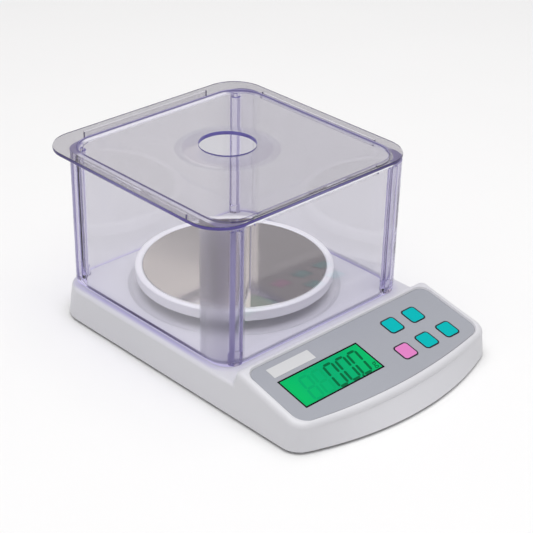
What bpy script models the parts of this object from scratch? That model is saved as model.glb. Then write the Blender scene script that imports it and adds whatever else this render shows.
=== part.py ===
# Electronic balance with a draught shield, modelled in metres with +Z up.
# The console and its keys face -Y, and the balance stands on z = 0.
# The origin is the middle of the outline on the surface that it stands on.

import math

import bmesh
import bpy
from mathutils import Matrix

MM = 0.001

# Shared clearances and walls
GAP = 0.3 * MM              # between pieces that touch in the real balance
SEAT = 0.5 * MM             # sliding fit of loose moulded parts
OVERRUN = 4.0 * MM          # how far cutters run past a face
SAME_POINT = 0.0003 * MM    # corners closer than this become one
WALL = 2.2 * MM             # moulded wall of the case

# Pan and tray. PAN_Y is the pan's axis and the middle of the shield.
PAN_Y = 35.8 * MM
PLATE_RADIUS = 58.8 * MM
PLATE_THICK = 1.2 * MM
PLATE_RISE = 15.9 * MM      # top of the pan above the platform
PLATE_EDGE = 0.25 * MM
TRAY_RIM = 5.0 * MM         # tray beyond the pan
TRAY_RIM_RISE = 0.6 * MM    # rim above the pan
TRAY_SKIRT_RISE = 9.0 * MM  # skirt's lower edge above the platform
TRAY_WALL = 1.8 * MM
TRAY_HUB_WALL = 2.9 * MM
TRAY_HUB_RISE = 5.6 * MM    # hub's foot above the platform
TRAY_RIB = 1.6 * MM
TRAY_RIBS = 6
POST_RADIUS = 5.2 * MM
POST_ABOVE_SHOULDER = 6.6 * MM
SHOULDER_WIDE = 4.4 * MM    # shoulder beyond the post
SHOULDER_THICK = 1.6 * MM

# Plateau and dish on the platform, inside the shield
PLATEAU_HIGH = 2.0 * MM
PLATEAU_EDGE = 0.7 * MM
PLATEAU_INSET = 1.6 * MM    # plateau's front edge inside the shield
DISH_MARGIN = 4.9 * MM      # dish beyond the tray
DISH_SLOPE = 2.6 * MM
DISH_DEEP = 1.1 * MM
ROOF_HOLE_MARGIN = 2.9 * MM     # hole beyond the carrier's shoulder

# Draught shield
SHIELD_MARGIN = 5.9 * MM    # shield's inner face beyond the dish
SHIELD_WALL = 2.5 * MM
SHIELD_DRAFT = 0.5 * MM
SHIELD_HIGH = 92.8 * MM
SHIELD_CORNER = 12.5 * MM
SHIELD_INNER_CORNER = 18.0 * MM
SHIELD_POST = 3.3 * MM
SHIELD_POST_FOOT = 4.0 * MM     # thicker foot of each post
SHIELD_POST_FOOT_HIGH = 7.7 * MM
SHIELD_POST_INSET = 8.2 * MM    # post axis inside the left and right walls
SHIELD_POST_DEPTH = 2.2 * MM    # post axis inside the front and back walls
SHIELD_POST_SHORT = 3.5 * MM    # post's top below the shield's
SHIELD_PEG = 1.6 * MM
SHIELD_PEG_HIGH = 2.2 * MM
SHIELD_PEG_ROUND = 0.6 * MM

# Shield lid
LID_X = -0.8 * MM
LID_SHIFT = 6.7 * MM        # lid's middle behind the shield's
LID_OVERHANG_X = 8.1 * MM
LID_OVERHANG_Y = 7.2 * MM
LID_CORNER = 22.8 * MM
LID_THICK = 2.2 * MM
LID_EDGE = 0.45 * MM
PANEL_INSET = 2.4 * MM      # dropped middle panel inside the shield's outline
PANEL_SHIFT = 2.6 * MM
PANEL_CORNER = 19.4 * MM
PANEL_DROP = 1.1 * MM
PANEL_UNDER_DROP = 1.2 * MM
LIP_END = 22.1 * MM         # from each end of a lip to the shield's corner
LIP_DEEP = 3.0 * MM         # lips below the dropped panel
LIP_THICK = 1.3 * MM
LIP_CLEAR = 1.3 * MM        # lips from the shield's outer faces, with the lid in the middle
HOLE_SHIFT = 7.6 * MM
HOLE_RADIUS = 18.35 * MM
COLLAR_WIDE = 15.45 * MM
COLLAR_RISE = 3.3 * MM
COLLAR_ROUND = 0.5 * MM

# Case outline
CASE_LEDGE = 8.9 * MM       # case beyond the shield on either side
CASE_LEDGE_BACK = 3.3 * MM
CASE_FOOT = 1.6 * MM        # underside of the case skirt
FOOT_EDGE = 0.5 * MM        # small round along the foot of the skirt
SIDE_DRAFT = 0.12           # how far the sides lean in for each unit of height
BACK_DRAFT = 0.05
BACK_CORNER = 22.0 * MM
FRONT_CORNER = 13.0 * MM
FRONT_BOW = 205.0 * MM      # radius of the bowed front at its foot
PLATFORM_EDGE = 2.0 * MM    # round along the platform's top edge
PLATFORM_REACH = 22.4 * MM  # platform carried on inside the console
PLATFORM_STEP = 0.06 * MM   # platform's sides stand back from the console's

# Sloping console, measured at the back edge of its panel
PANEL_AHEAD = 16.3 * MM     # panel's back edge in front of the shield
PANEL_RISE = 8.45 * MM      # panel's back edge above the platform
PANEL_SLOPE = math.radians(12.87)
PANEL_RIM = 1.0 * MM        # raised rim above the overlay
RIM_ROUND = 3.85 * MM       # round from the rim into the sides
RIM_SLOPE = 0.7 * MM        # width of the rim's soft slope down to the overlay
RIM_SLOPE_SHARES = ((0.0, 0.05), (0.3, 0.2), (0.7, 0.7), (1.0, 1.0))
CONSOLE_FOOT = 11.0 * MM    # foot of the console's leaning back wall behind the panel
CONSOLE_LEAN = 6.0 * MM     # foot of the console's front ahead of its crest
CREST_BACK = 3.5 * MM       # crest behind the panel frame, along the slope
CREST_AHEAD = 5.6 * MM      # crest in front of the overlay
CREST_BOW = 340.0 * MM
CREST_BACK_CORNER = 4.0 * MM
CREST_FRONT_CORNER = 11.0 * MM
CORNER_SHRINK_SHARE = 0.5   # share of the inset that the crest's corners lose

# Overlay and display
OVERLAY_INSET = 8.5 * MM    # overlay's back corners inside the case's foot
OVERLAY_FLARE = 1.1 * MM    # extra half width at its front
OVERLAY_BACK = -1.2 * MM    # along the slope from the panel frame
OVERLAY_BOW = 400.0 * MM
OVERLAY_BACK_CORNER = 7.0 * MM
OVERLAY_FRONT_CORNER = 9.0 * MM
OVERLAY_THICK = 0.4 * MM
WINDOW_MARGIN = 10.5 * MM   # window from the overlay's left edge
WINDOW_TO_KEYS = 16.35 * MM
WINDOW_SHIFT = -0.3 * MM    # window from the middle of the overlay, along the slope
WINDOW_HIGH = 25.5 * MM
WINDOW_THICK = 1.2 * MM
GLASS_MARGIN = 2.0 * MM     # display glass beyond its window
GLASS_THICK = 2.2 * MM
LIGHT_THICK = 3.0 * MM

# Keys, in two rows
KEY_WIDE = 11.3 * MM
KEY_HIGH = 12.1 * MM
KEY_CORNER = 2.3 * MM
KEY_PROUD = 0.2 * MM
KEY_FLANGE = 1.0 * MM       # flange under the panel that keeps the key in
KEY_FLANGE_THICK = 0.8 * MM
KEY_TRAVEL = 0.5 * MM
KEY_GAP = 8.0 * MM          # between the keys of a row
KEY_MARGIN = 11.65 * MM     # last key from the overlay's right edge
KEY_STAGGER = 9.1 * MM      # back row to the left of the front row
KEY_TOP_MARGIN = 10.65 * MM     # back row from the overlay's back edge
KEY_ROW_GAP = 9.4 * MM
KEY_FRONT_MARGIN = 12.15 * MM   # front row from the overlay's front

# Circuit board and its parts
BOARD_THICK = 1.6 * MM
BOARD_MARGIN = 6.0 * MM     # board inside the overlay's sides
BOARD_BACK_MARGIN = 5.3 * MM
BOARD_FRONT_MARGIN = 4.1 * MM
BOARD_CORNER = 3.0 * MM
SWITCH_SIDE = 6.0 * MM
SWITCH_PLUNGER = 1.7 * MM   # plunger radius
SWITCH_PLUNGER_HIGH = 0.6 * MM
CHIP_SIDE = 12.0 * MM
CHIP_THICK = 1.6 * MM
CHIP_SHIFT = 5.9 * MM       # chip to the left of the middle key
CHIP_V_SHIFT = -3.6 * MM
BOARD_SCREW_INSET = 4.0 * MM
BOARD_SCREW_TO_KEYS = 7.65 * MM     # the middle screw, between the display and the keys
BOARD_SCREW_SHANK = 1.1 * MM
BOARD_SCREW_HEAD = 2.2 * MM
BOARD_SCREW_HEAD_HIGH = 1.4 * MM
BOARD_SCREW_LONG = 5.5 * MM
BOARD_BOSS = 2.9 * MM

# Lower case, feet and screws
FLOOR_RAISE = 0.8 * MM      # floor above the foot of the skirt
FLOOR_THICK = 2.2 * MM
LOWER_INSET = 0.7 * MM      # clearance of the lower case inside the skirt
LOWER_FRONT_INSET = 9.2 * MM    # set back behind the sloping front wall
LOWER_BOW = 300.0 * MM
LIP_HIGH = 1.6 * MM
LIP_WALL = 1.4 * MM
FOOT_RADIUS = 6.5 * MM
FOOT_RECESS = 1.0 * MM
FOOT_TAPER = 0.6 * MM
FOOT_INSET_X = 18.0 * MM
FOOT_INSET_BACK = 28.2 * MM
FOOT_INSET_FRONT = 30.8 * MM
SCREW_SHANK = 1.4 * MM
SCREW_HEAD = 2.8 * MM
SCREW_HEAD_HIGH = 1.6 * MM
SCREW_SINK = 1.9 * MM
SCREW_ABOVE_FLOOR = 6.5 * MM
SCREW_BACK_INSETS = (20.0 * MM, 12.2 * MM)      # from the side and the back
SCREW_FRONT_INSETS = (9.5 * MM, 42.8 * MM)      # from the side and the front
BOSS_RADIUS = 3.6 * MM
BOSS_CLEAR = 0.4 * MM       # boss above its seat pad
SEAT_PAD = 5.2 * MM
SEAT_PAD_HIGH = 1.5 * MM

# Load cell
CELL_HALF = 38.0 * MM
CELL_WIDE = 12.0 * MM
CELL_HIGH = 8.0 * MM
CELL_SPACER = 1.8 * MM
CELL_END = 15.0 * MM        # length of the seat at either end
CELL_EYE = 2.9 * MM         # radius of each flexure hole
CELL_EYE_X = 9.0 * MM
CELL_SLOT = 1.6 * MM
CELL_CORNER = 0.5 * MM
CELL_SCREW_INSET = 4.0 * MM
CELL_SCREW_EDGE = 2.25 * MM     # screw axis inside the cell's side
CELL_SCREW_SHANK = 1.3 * MM
CELL_SCREW_HEAD = 2.3 * MM
CELL_SCREW_HEAD_HIGH = 1.6 * MM
CARRIER_BESIDE = 1.0 * MM   # carrier beyond the cell on either side
CARRIER_THICK = 2.2 * MM
CARRIER_CORNER = 2.0 * MM
CARRIER_HEADROOM = 2.3 * MM     # from the carrier to the platform's underside

# Battery bay
BAY_INSET = 34.2 * MM       # middle of the bay in front of the case's back
CELL_RADIUS = 5.25 * MM     # one dry cell
DRY_CELL_LONG = 43.6 * MM
DRY_CELL_NUB = 1.9 * MM
DRY_CELL_NUB_LONG = 0.9 * MM
DRY_CELL_GAP = 0.9 * MM
BAY_CONTACT_ROOM = 4.8 * MM     # from a cell's end to the bay's wall
BAY_WALL = 1.2 * MM
BAY_CLEAR = 0.6 * MM
DOOR_THICK = 1.5 * MM
DOOR_CORNER = 1.5 * MM
DOOR_GRIP = 5.0 * MM
DOOR_LIFT = 0.4 * MM
CONTACT_THICK = 0.4 * MM
SPRING_RADIUS = 2.6 * MM
SPRING_WIRE = 0.35 * MM
SPRING_TURNS = 4

# Adapter socket
JACK_INSET = 46.0 * MM      # from the case's left side
JACK_WIDE = 9.0 * MM
JACK_HIGH = 10.6 * MM
JACK_LONG = 13.0 * MM
JACK_NOSE = 3.9 * MM
JACK_BORE = 3.0 * MM
JACK_BORE_DEEP = 9.5 * MM
JACK_PIN = 1.0 * MM
JACK_PIN_BACK = 2.5 * MM

# Heights, from the floor up
FLOOR_BOTTOM = CASE_FOOT + FLOOR_RAISE
FLOOR_TOP = FLOOR_BOTTOM + FLOOR_THICK
LIP_TOP = FLOOR_TOP + LIP_HIGH
BOSS_FOOT = FLOOR_TOP + SEAT_PAD_HIGH + BOSS_CLEAR
CELL_BOTTOM = FLOOR_TOP + GAP + CELL_SPACER + GAP
CELL_TOP = CELL_BOTTOM + CELL_HIGH
CARRIER_BOTTOM = CELL_TOP + GAP
CARRIER_TOP = CARRIER_BOTTOM + CARRIER_THICK
ROOF_UNDER = CARRIER_TOP + CARRIER_HEADROOM
PLATFORM_TOP = ROOF_UNDER + WALL
DISH_FLOOR = PLATFORM_TOP + PLATEAU_HIGH - DISH_DEEP
PLATE_TOP = PLATFORM_TOP + PLATE_RISE
TRAY_RIM_TOP = PLATE_TOP + TRAY_RIM_RISE
TRAY_SKIRT = PLATFORM_TOP + TRAY_SKIRT_RISE
TRAY_HUB_FOOT = PLATFORM_TOP + TRAY_HUB_RISE
SHOULDER_TOP = TRAY_HUB_FOOT - GAP
SHIELD_BOTTOM = PLATFORM_TOP + GAP
SHIELD_TOP = SHIELD_BOTTOM + SHIELD_HIGH
SHIELD_POST_TOP = SHIELD_TOP - SHIELD_POST_SHORT
LID_UNDER = SHIELD_TOP + GAP
LID_TOP = LID_UNDER + LID_THICK
PANEL_TOP = LID_TOP - PANEL_DROP
PANEL_BOTTOM = LID_UNDER - PANEL_UNDER_DROP
PANEL_Z = PLATFORM_TOP + PANEL_RISE
DOOR_TOP = FLOOR_BOTTOM + DOOR_THICK
DRY_CELL_Z = DOOR_TOP + GAP + CELL_RADIUS + DOOR_LIFT
BAY_TOP = DRY_CELL_Z + CELL_RADIUS + GAP
JACK_Z = FLOOR_TOP + GAP + JACK_HIGH / 2

# Outlines, from the pan outwards
TRAY_RADIUS = PLATE_RADIUS + TRAY_RIM
TRAY_HUB = POST_RADIUS + GAP + TRAY_HUB_WALL
SHOULDER_RADIUS = POST_RADIUS + SHOULDER_WIDE
ROOF_HOLE = SHOULDER_RADIUS + ROOF_HOLE_MARGIN
DISH_RADIUS = TRAY_RADIUS + DISH_MARGIN
SHIELD_INNER = DISH_RADIUS + SHIELD_MARGIN
SHIELD_INNER_TOP = SHIELD_INNER + SHIELD_DRAFT
SHIELD_HALF = SHIELD_INNER + SHIELD_WALL
SHIELD_POST_X = SHIELD_INNER - SHIELD_POST_INSET
POST_Y = SHIELD_INNER - SHIELD_POST_DEPTH
PLATEAU_FRONT = PAN_Y - SHIELD_INNER + PLATEAU_INSET
LID_Y = PAN_Y + LID_SHIFT
LID_HALF_X = SHIELD_HALF + LID_OVERHANG_X
LID_HALF_Y = SHIELD_HALF + LID_OVERHANG_Y
PANEL_HALF = SHIELD_HALF - PANEL_INSET
PANEL_MIDDLE_Y = PAN_Y + PANEL_SHIFT
LIP_LONG = 2 * (SHIELD_INNER - LIP_END)
LIP_HALF = SHIELD_HALF + SHIELD_DRAFT + LIP_CLEAR
HOLE_Y = PAN_Y + HOLE_SHIFT
COLLAR_RADIUS = HOLE_RADIUS + COLLAR_WIDE
CASE_HALF = SHIELD_HALF + CASE_LEDGE
CASE_BACK = PAN_Y + SHIELD_HALF + CASE_LEDGE_BACK

# Places on the panel, along the slope from its frame
PANEL_Y = PAN_Y - SHIELD_HALF - PANEL_AHEAD
BACK_ROW_V = OVERLAY_BACK - KEY_TOP_MARGIN - KEY_HIGH / 2
FRONT_ROW_V = BACK_ROW_V - KEY_HIGH - KEY_ROW_GAP
OVERLAY_FRONT = FRONT_ROW_V - KEY_HIGH / 2 - KEY_FRONT_MARGIN
OVERLAY_HALF = CASE_HALF - OVERLAY_INSET
CREST_FRONT = OVERLAY_FRONT - CREST_AHEAD
CASE_FRONT = PANEL_Y + CREST_FRONT - CONSOLE_LEAN
CONSOLE_BACK = PANEL_Y + CONSOLE_FOOT
PLATFORM_FRONT = PANEL_Y - PLATFORM_REACH
KEY_PITCH = KEY_WIDE + KEY_GAP
KEY_X = OVERLAY_HALF - KEY_MARGIN - KEY_WIDE / 2
KEY_PLACES = {
    "key_back_left": (KEY_X - KEY_STAGGER - KEY_PITCH, BACK_ROW_V),
    "key_back_right": (KEY_X - KEY_STAGGER, BACK_ROW_V),
    "key_front_left": (KEY_X - 2 * KEY_PITCH, FRONT_ROW_V),
    "key_front_middle": (KEY_X - KEY_PITCH, FRONT_ROW_V),
    "key_front_right": (KEY_X, FRONT_ROW_V),
}
KEYS_LEFT = KEY_X - 2 * KEY_PITCH - KEY_WIDE / 2
WINDOW_LEFT = WINDOW_MARGIN - OVERLAY_HALF
WINDOW_RIGHT = KEYS_LEFT - WINDOW_TO_KEYS
WINDOW_WIDE = WINDOW_RIGHT - WINDOW_LEFT
WINDOW_X = (WINDOW_LEFT + WINDOW_RIGHT) / 2
WINDOW_V = (OVERLAY_BACK + OVERLAY_FRONT) / 2 + WINDOW_SHIFT
BOARD_HALF = OVERLAY_HALF - BOARD_MARGIN
BOARD_BACK_V = OVERLAY_BACK - BOARD_BACK_MARGIN
BOARD_FRONT_V = OVERLAY_FRONT + BOARD_FRONT_MARGIN
BOARD_SCREW_X = BOARD_HALF - BOARD_SCREW_INSET
BOARD_SCREW_MIDDLE_X = KEYS_LEFT - BOARD_SCREW_TO_KEYS
CHIP_X = KEY_X - KEY_PITCH - CHIP_SHIFT
CHIP_V = WINDOW_V + CHIP_V_SHIFT

# Levels below the panel plane, from the top down
POCKET_FLOOR = -(OVERLAY_THICK + GAP)
PANEL_UNDER = POCKET_FLOOR - WALL
GLASS_TOP = PANEL_UNDER - GAP
GLASS_BOTTOM = GLASS_TOP - GLASS_THICK
LIGHT_TOP = GLASS_BOTTOM - GAP
LIGHT_BOTTOM = LIGHT_TOP - LIGHT_THICK
BOARD_TOP = LIGHT_BOTTOM - GAP
BOARD_BOTTOM = BOARD_TOP - BOARD_THICK
FLANGE_BOTTOM = PANEL_UNDER - GAP - KEY_FLANGE_THICK
PLUNGER_TOP = FLANGE_BOTTOM - KEY_TRAVEL - GAP
SWITCH_TOP = PLUNGER_TOP - SWITCH_PLUNGER_HIGH

# Places under the case
LOWER_FRONT = CASE_FRONT + LOWER_FRONT_INSET
FOOT_X = CASE_HALF - FOOT_INSET_X
FOOT_BACK_Y = CASE_BACK - FOOT_INSET_BACK
FOOT_FRONT_Y = CASE_FRONT + FOOT_INSET_FRONT
SCREW_BACK = (CASE_HALF - SCREW_BACK_INSETS[0], CASE_BACK - SCREW_BACK_INSETS[1])
SCREW_FRONT = (CASE_HALF - SCREW_FRONT_INSETS[0], CASE_FRONT + SCREW_FRONT_INSETS[1])
CELL_SCREW_Y = CELL_WIDE / 2 - CELL_SCREW_EDGE
BAY_Y = CASE_BACK - BAY_INSET
DRY_CELL_PITCH = 2 * CELL_RADIUS + DRY_CELL_GAP
BAY_HALF_X = DRY_CELL_LONG / 2 + BAY_CONTACT_ROOM
BAY_HALF_Y = DRY_CELL_PITCH / 2 + CELL_RADIUS + BAY_CLEAR
JACK_X = JACK_INSET - CASE_HALF

# Faceting
CORNER_STEPS = 6
BOW_STEPS = 10
ROUND_STEPS = 32
DISC_STEPS = 72
EDGE_STEPS = 4
RIM_STEPS = 6
COIL_STEPS = 8

# Colours as seen in the photo
WARM_WHITE = (0.80, 0.80, 0.82)
OVERLAY_GREY = (0.36, 0.38, 0.42)
LCD_GREEN = (0.0, 0.55, 0.14)
TEAL = (0.0, 0.47, 0.47)
PINK = (0.72, 0.21, 0.55)
STEEL = (0.62, 0.60, 0.58)
CLEAR = (0.86, 0.86, 0.94)


def clear_scene():
    for item in list(bpy.data.objects):
        bpy.data.objects.remove(item, do_unlink=True)


def material(name, colour, roughness, metallic=0.0, transmission=0.0):
    found = bpy.data.materials.get(name)
    if found:
        return found
    made = bpy.data.materials.new(name)
    made.use_nodes = True
    shader = made.node_tree.nodes["Principled BSDF"]
    shader.inputs["Base Color"].default_value = (*colour, 1.0)
    shader.inputs["Roughness"].default_value = roughness
    shader.inputs["Metallic"].default_value = metallic
    shader.inputs["Transmission Weight"].default_value = transmission
    made.diffuse_color = (*colour, 1.0)
    return made


def new_object(name, bm, look=None, parent=None, location=None):
    bmesh.ops.recalc_face_normals(bm, faces=bm.faces)
    mesh = bpy.data.meshes.new(name)
    bm.to_mesh(mesh)
    bm.free()
    made = bpy.data.objects.new(name, mesh)
    bpy.context.scene.collection.objects.link(made)
    if look:
        mesh.materials.append(look)
    if parent:
        made.parent = parent
    if location:
        made.location = location
    return made


def finish(made, look, smooth_angle=35.0):
    made.data.materials.clear()
    made.data.materials.append(look)
    made.data.shade_smooth()
    made.data.set_sharp_from_angle(angle=math.radians(smooth_angle))
    return made


def place_origin(made, x, y, z):
    """Move a piece's origin to a point, such as one on its joint's axis, and leave its shape in place."""
    made.data.transform(Matrix.Translation((-x, -y, -z)))
    made.location = (x, y, z)
    return made


def combine(target, tool, operation):
    step = target.modifiers.new(operation.lower(), "BOOLEAN")
    step.operation = operation
    step.solver = "EXACT"
    step.object = tool
    bpy.context.view_layer.update()
    graph = bpy.context.evaluated_depsgraph_get()
    result = bpy.data.meshes.new_from_object(target.evaluated_get(graph))
    bm = bmesh.new()
    bm.from_mesh(result)
    bmesh.ops.remove_doubles(bm, verts=bm.verts, dist=SAME_POINT)
    bm.to_mesh(result)
    bm.free()
    target.modifiers.clear()
    target.data = result
    bpy.data.objects.remove(tool, do_unlink=True)
    return target


def cut(target, tool):
    return combine(target, tool, "DIFFERENCE")


def join(target, tool):
    return combine(target, tool, "UNION")


# Outlines, all anticlockwise and starting on the right

def arc(x, y, radius, start, end, steps):
    angles = [start + (end - start) * i / steps for i in range(steps + 1)]
    return [(x + radius * math.cos(a), y + radius * math.sin(a)) for a in angles]


def rounded_rect(x, y, half_x, half_y, radius, steps=CORNER_STEPS):
    quarter = math.pi / 2
    points = []
    for i, (sx, sy) in enumerate(((1, 1), (-1, 1), (-1, -1), (1, -1))):
        cx = x + sx * (half_x - radius)
        cy = y + sy * (half_y - radius)
        points += arc(cx, cy, radius, i * quarter, (i + 1) * quarter, steps)
    return points


def bowed_outline(half, back, front, bow, back_corner, front_corner):
    """A plan with round back corners and a front that bows out, joined by round corners."""
    quarter = math.pi / 2
    points = arc(half - back_corner, back - back_corner, back_corner, 0.0, quarter, CORNER_STEPS)
    points += arc(back_corner - half, back - back_corner, back_corner, quarter, 2 * quarter, CORNER_STEPS)
    bow_y = front + bow
    reach = bow - front_corner
    corner_x = half - front_corner
    corner_y = bow_y - math.sqrt(reach ** 2 - corner_x ** 2)
    spread = math.asin(corner_x / reach)
    left = -quarter - spread
    right = -quarter + spread
    points += arc(-corner_x, corner_y, front_corner, -2 * quarter, left, CORNER_STEPS)
    points += arc(0.0, bow_y, bow, left, right, BOW_STEPS)[1:-1]
    points += arc(corner_x, corner_y, front_corner, right, 0.0, CORNER_STEPS)
    return points


def level(points, z):
    return [(x, y, z) for x, y in points]


def loft(rings, name="loft", **options):
    bm = bmesh.new()
    loops = [[bm.verts.new(p) for p in ring] for ring in rings]
    count = len(loops[0])
    for low, high in zip(loops, loops[1:]):
        for i in range(count):
            j = (i + 1) % count
            bm.faces.new((low[i], low[j], high[j], high[i]))
    bm.faces.new(list(reversed(loops[0])))
    bm.faces.new(loops[-1])
    return new_object(name, bm, **options)


def prism(points, bottom, top, name="prism", **options):
    return loft([level(points, bottom), level(points, top)], name, **options)


def block(x0, x1, y0, y1, z0, z1, name="block", **options):
    return prism([(x0, y0), (x1, y0), (x1, y1), (x0, y1)], z0, z1, name, **options)


def disc(x, y, radius, bottom, top, steps=ROUND_STEPS, name="disc", **options):
    circle = arc(x, y, radius, 0.0, 2 * math.pi, steps)[:-1]
    return prism(circle, bottom, top, name, **options)


def revolve(profile, steps=DISC_STEPS, x=0.0, y=0.0, name="turned", **options):
    """Turn a closed (radius, height) profile about a vertical axis at x, y."""
    bm = bmesh.new()
    verts = [bm.verts.new((r, 0.0, z)) for r, z in profile]
    edges = [bm.edges.new((verts[i], verts[(i + 1) % len(verts)])) for i in range(len(verts))]
    axis_edges = [e for e in edges if all(v.co.x == 0.0 for v in e.verts)]
    for edge in axis_edges:
        edges.remove(edge)
        bm.edges.remove(edge)
    bmesh.ops.spin(bm, geom=verts + edges, cent=(0, 0, 0), axis=(0, 0, 1),
                   angle=2 * math.pi, steps=steps, use_merge=True)
    bmesh.ops.remove_doubles(bm, verts=bm.verts, dist=0.01 * GAP)
    bmesh.ops.translate(bm, verts=bm.verts, vec=(x, y, 0.0))
    return new_object(name, bm, **options)


def edge_round(radius, inward, steps=EDGE_STEPS):
    """Pairs of (inset, drop) round an upper edge, from the side wall to the flat top."""
    pairs = []
    for i in range(steps + 1):
        angle = i / steps * math.pi / 2
        pairs.append((inward * (1.0 - math.cos(angle)), radius * (1.0 - math.sin(angle))))
    return pairs


# Sloping panel frame

def panel_frame():
    frame = bpy.data.objects.new("panel_frame", None)
    bpy.context.scene.collection.objects.link(frame)
    frame.location = (0.0, PANEL_Y, PANEL_Z)
    frame.rotation_euler = (PANEL_SLOPE, 0.0, 0.0)
    bpy.context.view_layer.update()
    return frame


def overlay_outline(grow=0.0):
    """Outline of the overlay, which widens a little towards the front."""
    outline = bowed_outline(OVERLAY_HALF + grow, OVERLAY_BACK + grow, OVERLAY_FRONT - grow, OVERLAY_BOW,
                            OVERLAY_BACK_CORNER + grow, OVERLAY_FRONT_CORNER + grow)
    length = OVERLAY_BACK - OVERLAY_FRONT
    flared = []
    for x, v in outline:
        share = (OVERLAY_BACK - v) / length
        flared.append((x * (1.0 + OVERLAY_FLARE / OVERLAY_HALF * share), v))
    return flared


def window_outline(grow=0.0, corner=GAP):
    return rounded_rect(WINDOW_X, WINDOW_V, WINDOW_WIDE / 2 + grow, WINDOW_HIGH / 2 + grow, corner, 2)


def key_outline(x, v, grow=0.0):
    return rounded_rect(x, v, KEY_WIDE / 2 + grow, KEY_HIGH / 2 + grow, KEY_CORNER + grow, 4)


def side_half(z):
    """Half width of the case at a height, between its leaning sides."""
    return CASE_HALF - SIDE_DRAFT * (z - CASE_FOOT - FOOT_EDGE)


def back_edge(z):
    return CASE_BACK - BACK_DRAFT * (z - CASE_FOOT - FOOT_EDGE)


def crest_ring(shrink, drop, inset, top):
    """One ring of the console's rounded crest, drawn in by shrink and lowered by drop."""
    cos_s = math.cos(PANEL_SLOPE)
    sin_s = math.sin(PANEL_SLOPE)
    crest = (top - RIM_ROUND) * cos_s + PANEL_Z
    nominal = side_half(crest) - inset - shrink
    lost = CORNER_SHRINK_SHARE * shrink
    outline = bowed_outline(nominal, CREST_BACK - inset - shrink, CREST_FRONT + inset + shrink, CREST_BOW,
                            CREST_BACK_CORNER - lost, CREST_FRONT_CORNER - lost)
    ring = []
    for x, v in outline:
        half_here = side_half(crest + v * sin_s) - inset - shrink
        w = top - drop
        ring.append((x * half_here / nominal, PANEL_Y + v * cos_s - w * sin_s,
                     PANEL_Z + v * sin_s + w * cos_s))
    return ring


def console_rings(inset):
    """Sections of the console from its foot to its sloping top, drawn in by an inset."""
    half = CASE_HALF - inset
    back = CONSOLE_BACK - inset
    front = CASE_FRONT + inset

    def foot_ring(shrink, z):
        outline = bowed_outline(half - shrink, back, front + shrink, FRONT_BOW, CREST_BACK_CORNER, FRONT_CORNER)
        return level(outline, z)

    if inset > 0.0:
        rings = [foot_ring(0.0, CASE_FOOT - OVERRUN)]
        top = PANEL_UNDER
    else:
        rings = [foot_ring(FOOT_EDGE, CASE_FOOT), foot_ring(0.0, CASE_FOOT + FOOT_EDGE)]
        top = PANEL_RIM
    for shrink, drop in edge_round(RIM_ROUND, RIM_ROUND):
        rings.append(crest_ring(shrink, drop, inset, top))
    return rings


def platform_rings(inset):
    def ring(shrink, z):
        half = side_half(z) - PLATFORM_STEP - inset - shrink
        back = back_edge(z) - inset - shrink
        front = PLATFORM_FRONT + inset
        corner = BACK_CORNER - inset - shrink
        return level(rounded_rect(0.0, (back + front) / 2, half, (back - front) / 2, corner), z)

    if inset > 0.0:
        return [ring(0.0, CASE_FOOT - OVERRUN), ring(0.0, ROOF_UNDER)]
    rings = [ring(FOOT_EDGE, CASE_FOOT), ring(0.0, CASE_FOOT + FOOT_EDGE)]
    for shrink, drop in edge_round(PLATFORM_EDGE, PLATFORM_EDGE):
        rings.append(ring(shrink, PLATFORM_TOP - drop))
    return rings


def plateau():
    """Raised floor inside the shield, notched round the shield's posts."""
    half = SHIELD_INNER - SEAT
    back = PAN_Y + half
    middle = (back + PLATEAU_FRONT) / 2
    depth = (back - PLATEAU_FRONT) / 2
    corner = SHIELD_INNER_CORNER
    top = PLATFORM_TOP + PLATEAU_HIGH
    rings = [level(rounded_rect(0.0, middle, half, depth, corner), ROOF_UNDER + GAP)]
    for shrink, drop in edge_round(PLATEAU_EDGE, PLATEAU_EDGE, 2):
        rings.append(level(rounded_rect(0.0, middle, half - shrink, depth - shrink, corner - shrink), top - drop))
    made = loft(rings, "plateau")
    for sx in (-1, 1):
        for sy in (-1, 1):
            notch = disc(sx * SHIELD_POST_X, PAN_Y + sy * POST_Y, SHIELD_POST_FOOT + SEAT,
                         PLATFORM_TOP, top + OVERRUN, 16)
            cut(made, notch)
    return made


def upper_case(frame, look):
    made = loft(platform_rings(0.0), "upper_case")
    join(made, loft(console_rings(0.0)))
    join(made, plateau())
    cut(made, loft(platform_rings(WALL)))
    cut(made, loft(console_rings(WALL)))
    dish_rim = PLATFORM_TOP + PLATEAU_HIGH
    dish = [(0.0, DISH_FLOOR), (DISH_RADIUS - DISH_SLOPE, DISH_FLOOR), (DISH_RADIUS, dish_rim),
            (DISH_RADIUS, dish_rim + OVERRUN), (0.0, dish_rim + OVERRUN)]
    cut(made, revolve(dish, y=PAN_Y))
    cut(made, disc(0.0, PAN_Y, ROOF_HOLE, ROOF_UNDER - OVERRUN, dish_rim + OVERRUN))
    add_case_bosses(made)
    add_board_bosses(made, frame)
    cut(made, overlay_pocket(frame))
    cut(made, prism(window_outline(GAP), PANEL_UNDER - GAP, OVERRUN, parent=frame))
    for x, v in KEY_PLACES.values():
        cut(made, prism(key_outline(x, v, GAP), PANEL_UNDER - GAP, OVERRUN, parent=frame))
    nose = disc(0.0, 0.0, JACK_NOSE + GAP, -2 * WALL, 2 * WALL)
    nose.rotation_euler = (math.pi / 2, 0.0, 0.0)
    nose.location = (JACK_X, back_edge(JACK_Z) - WALL / 2, JACK_Z)
    cut(made, nose)
    return finish(made, look)


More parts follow.
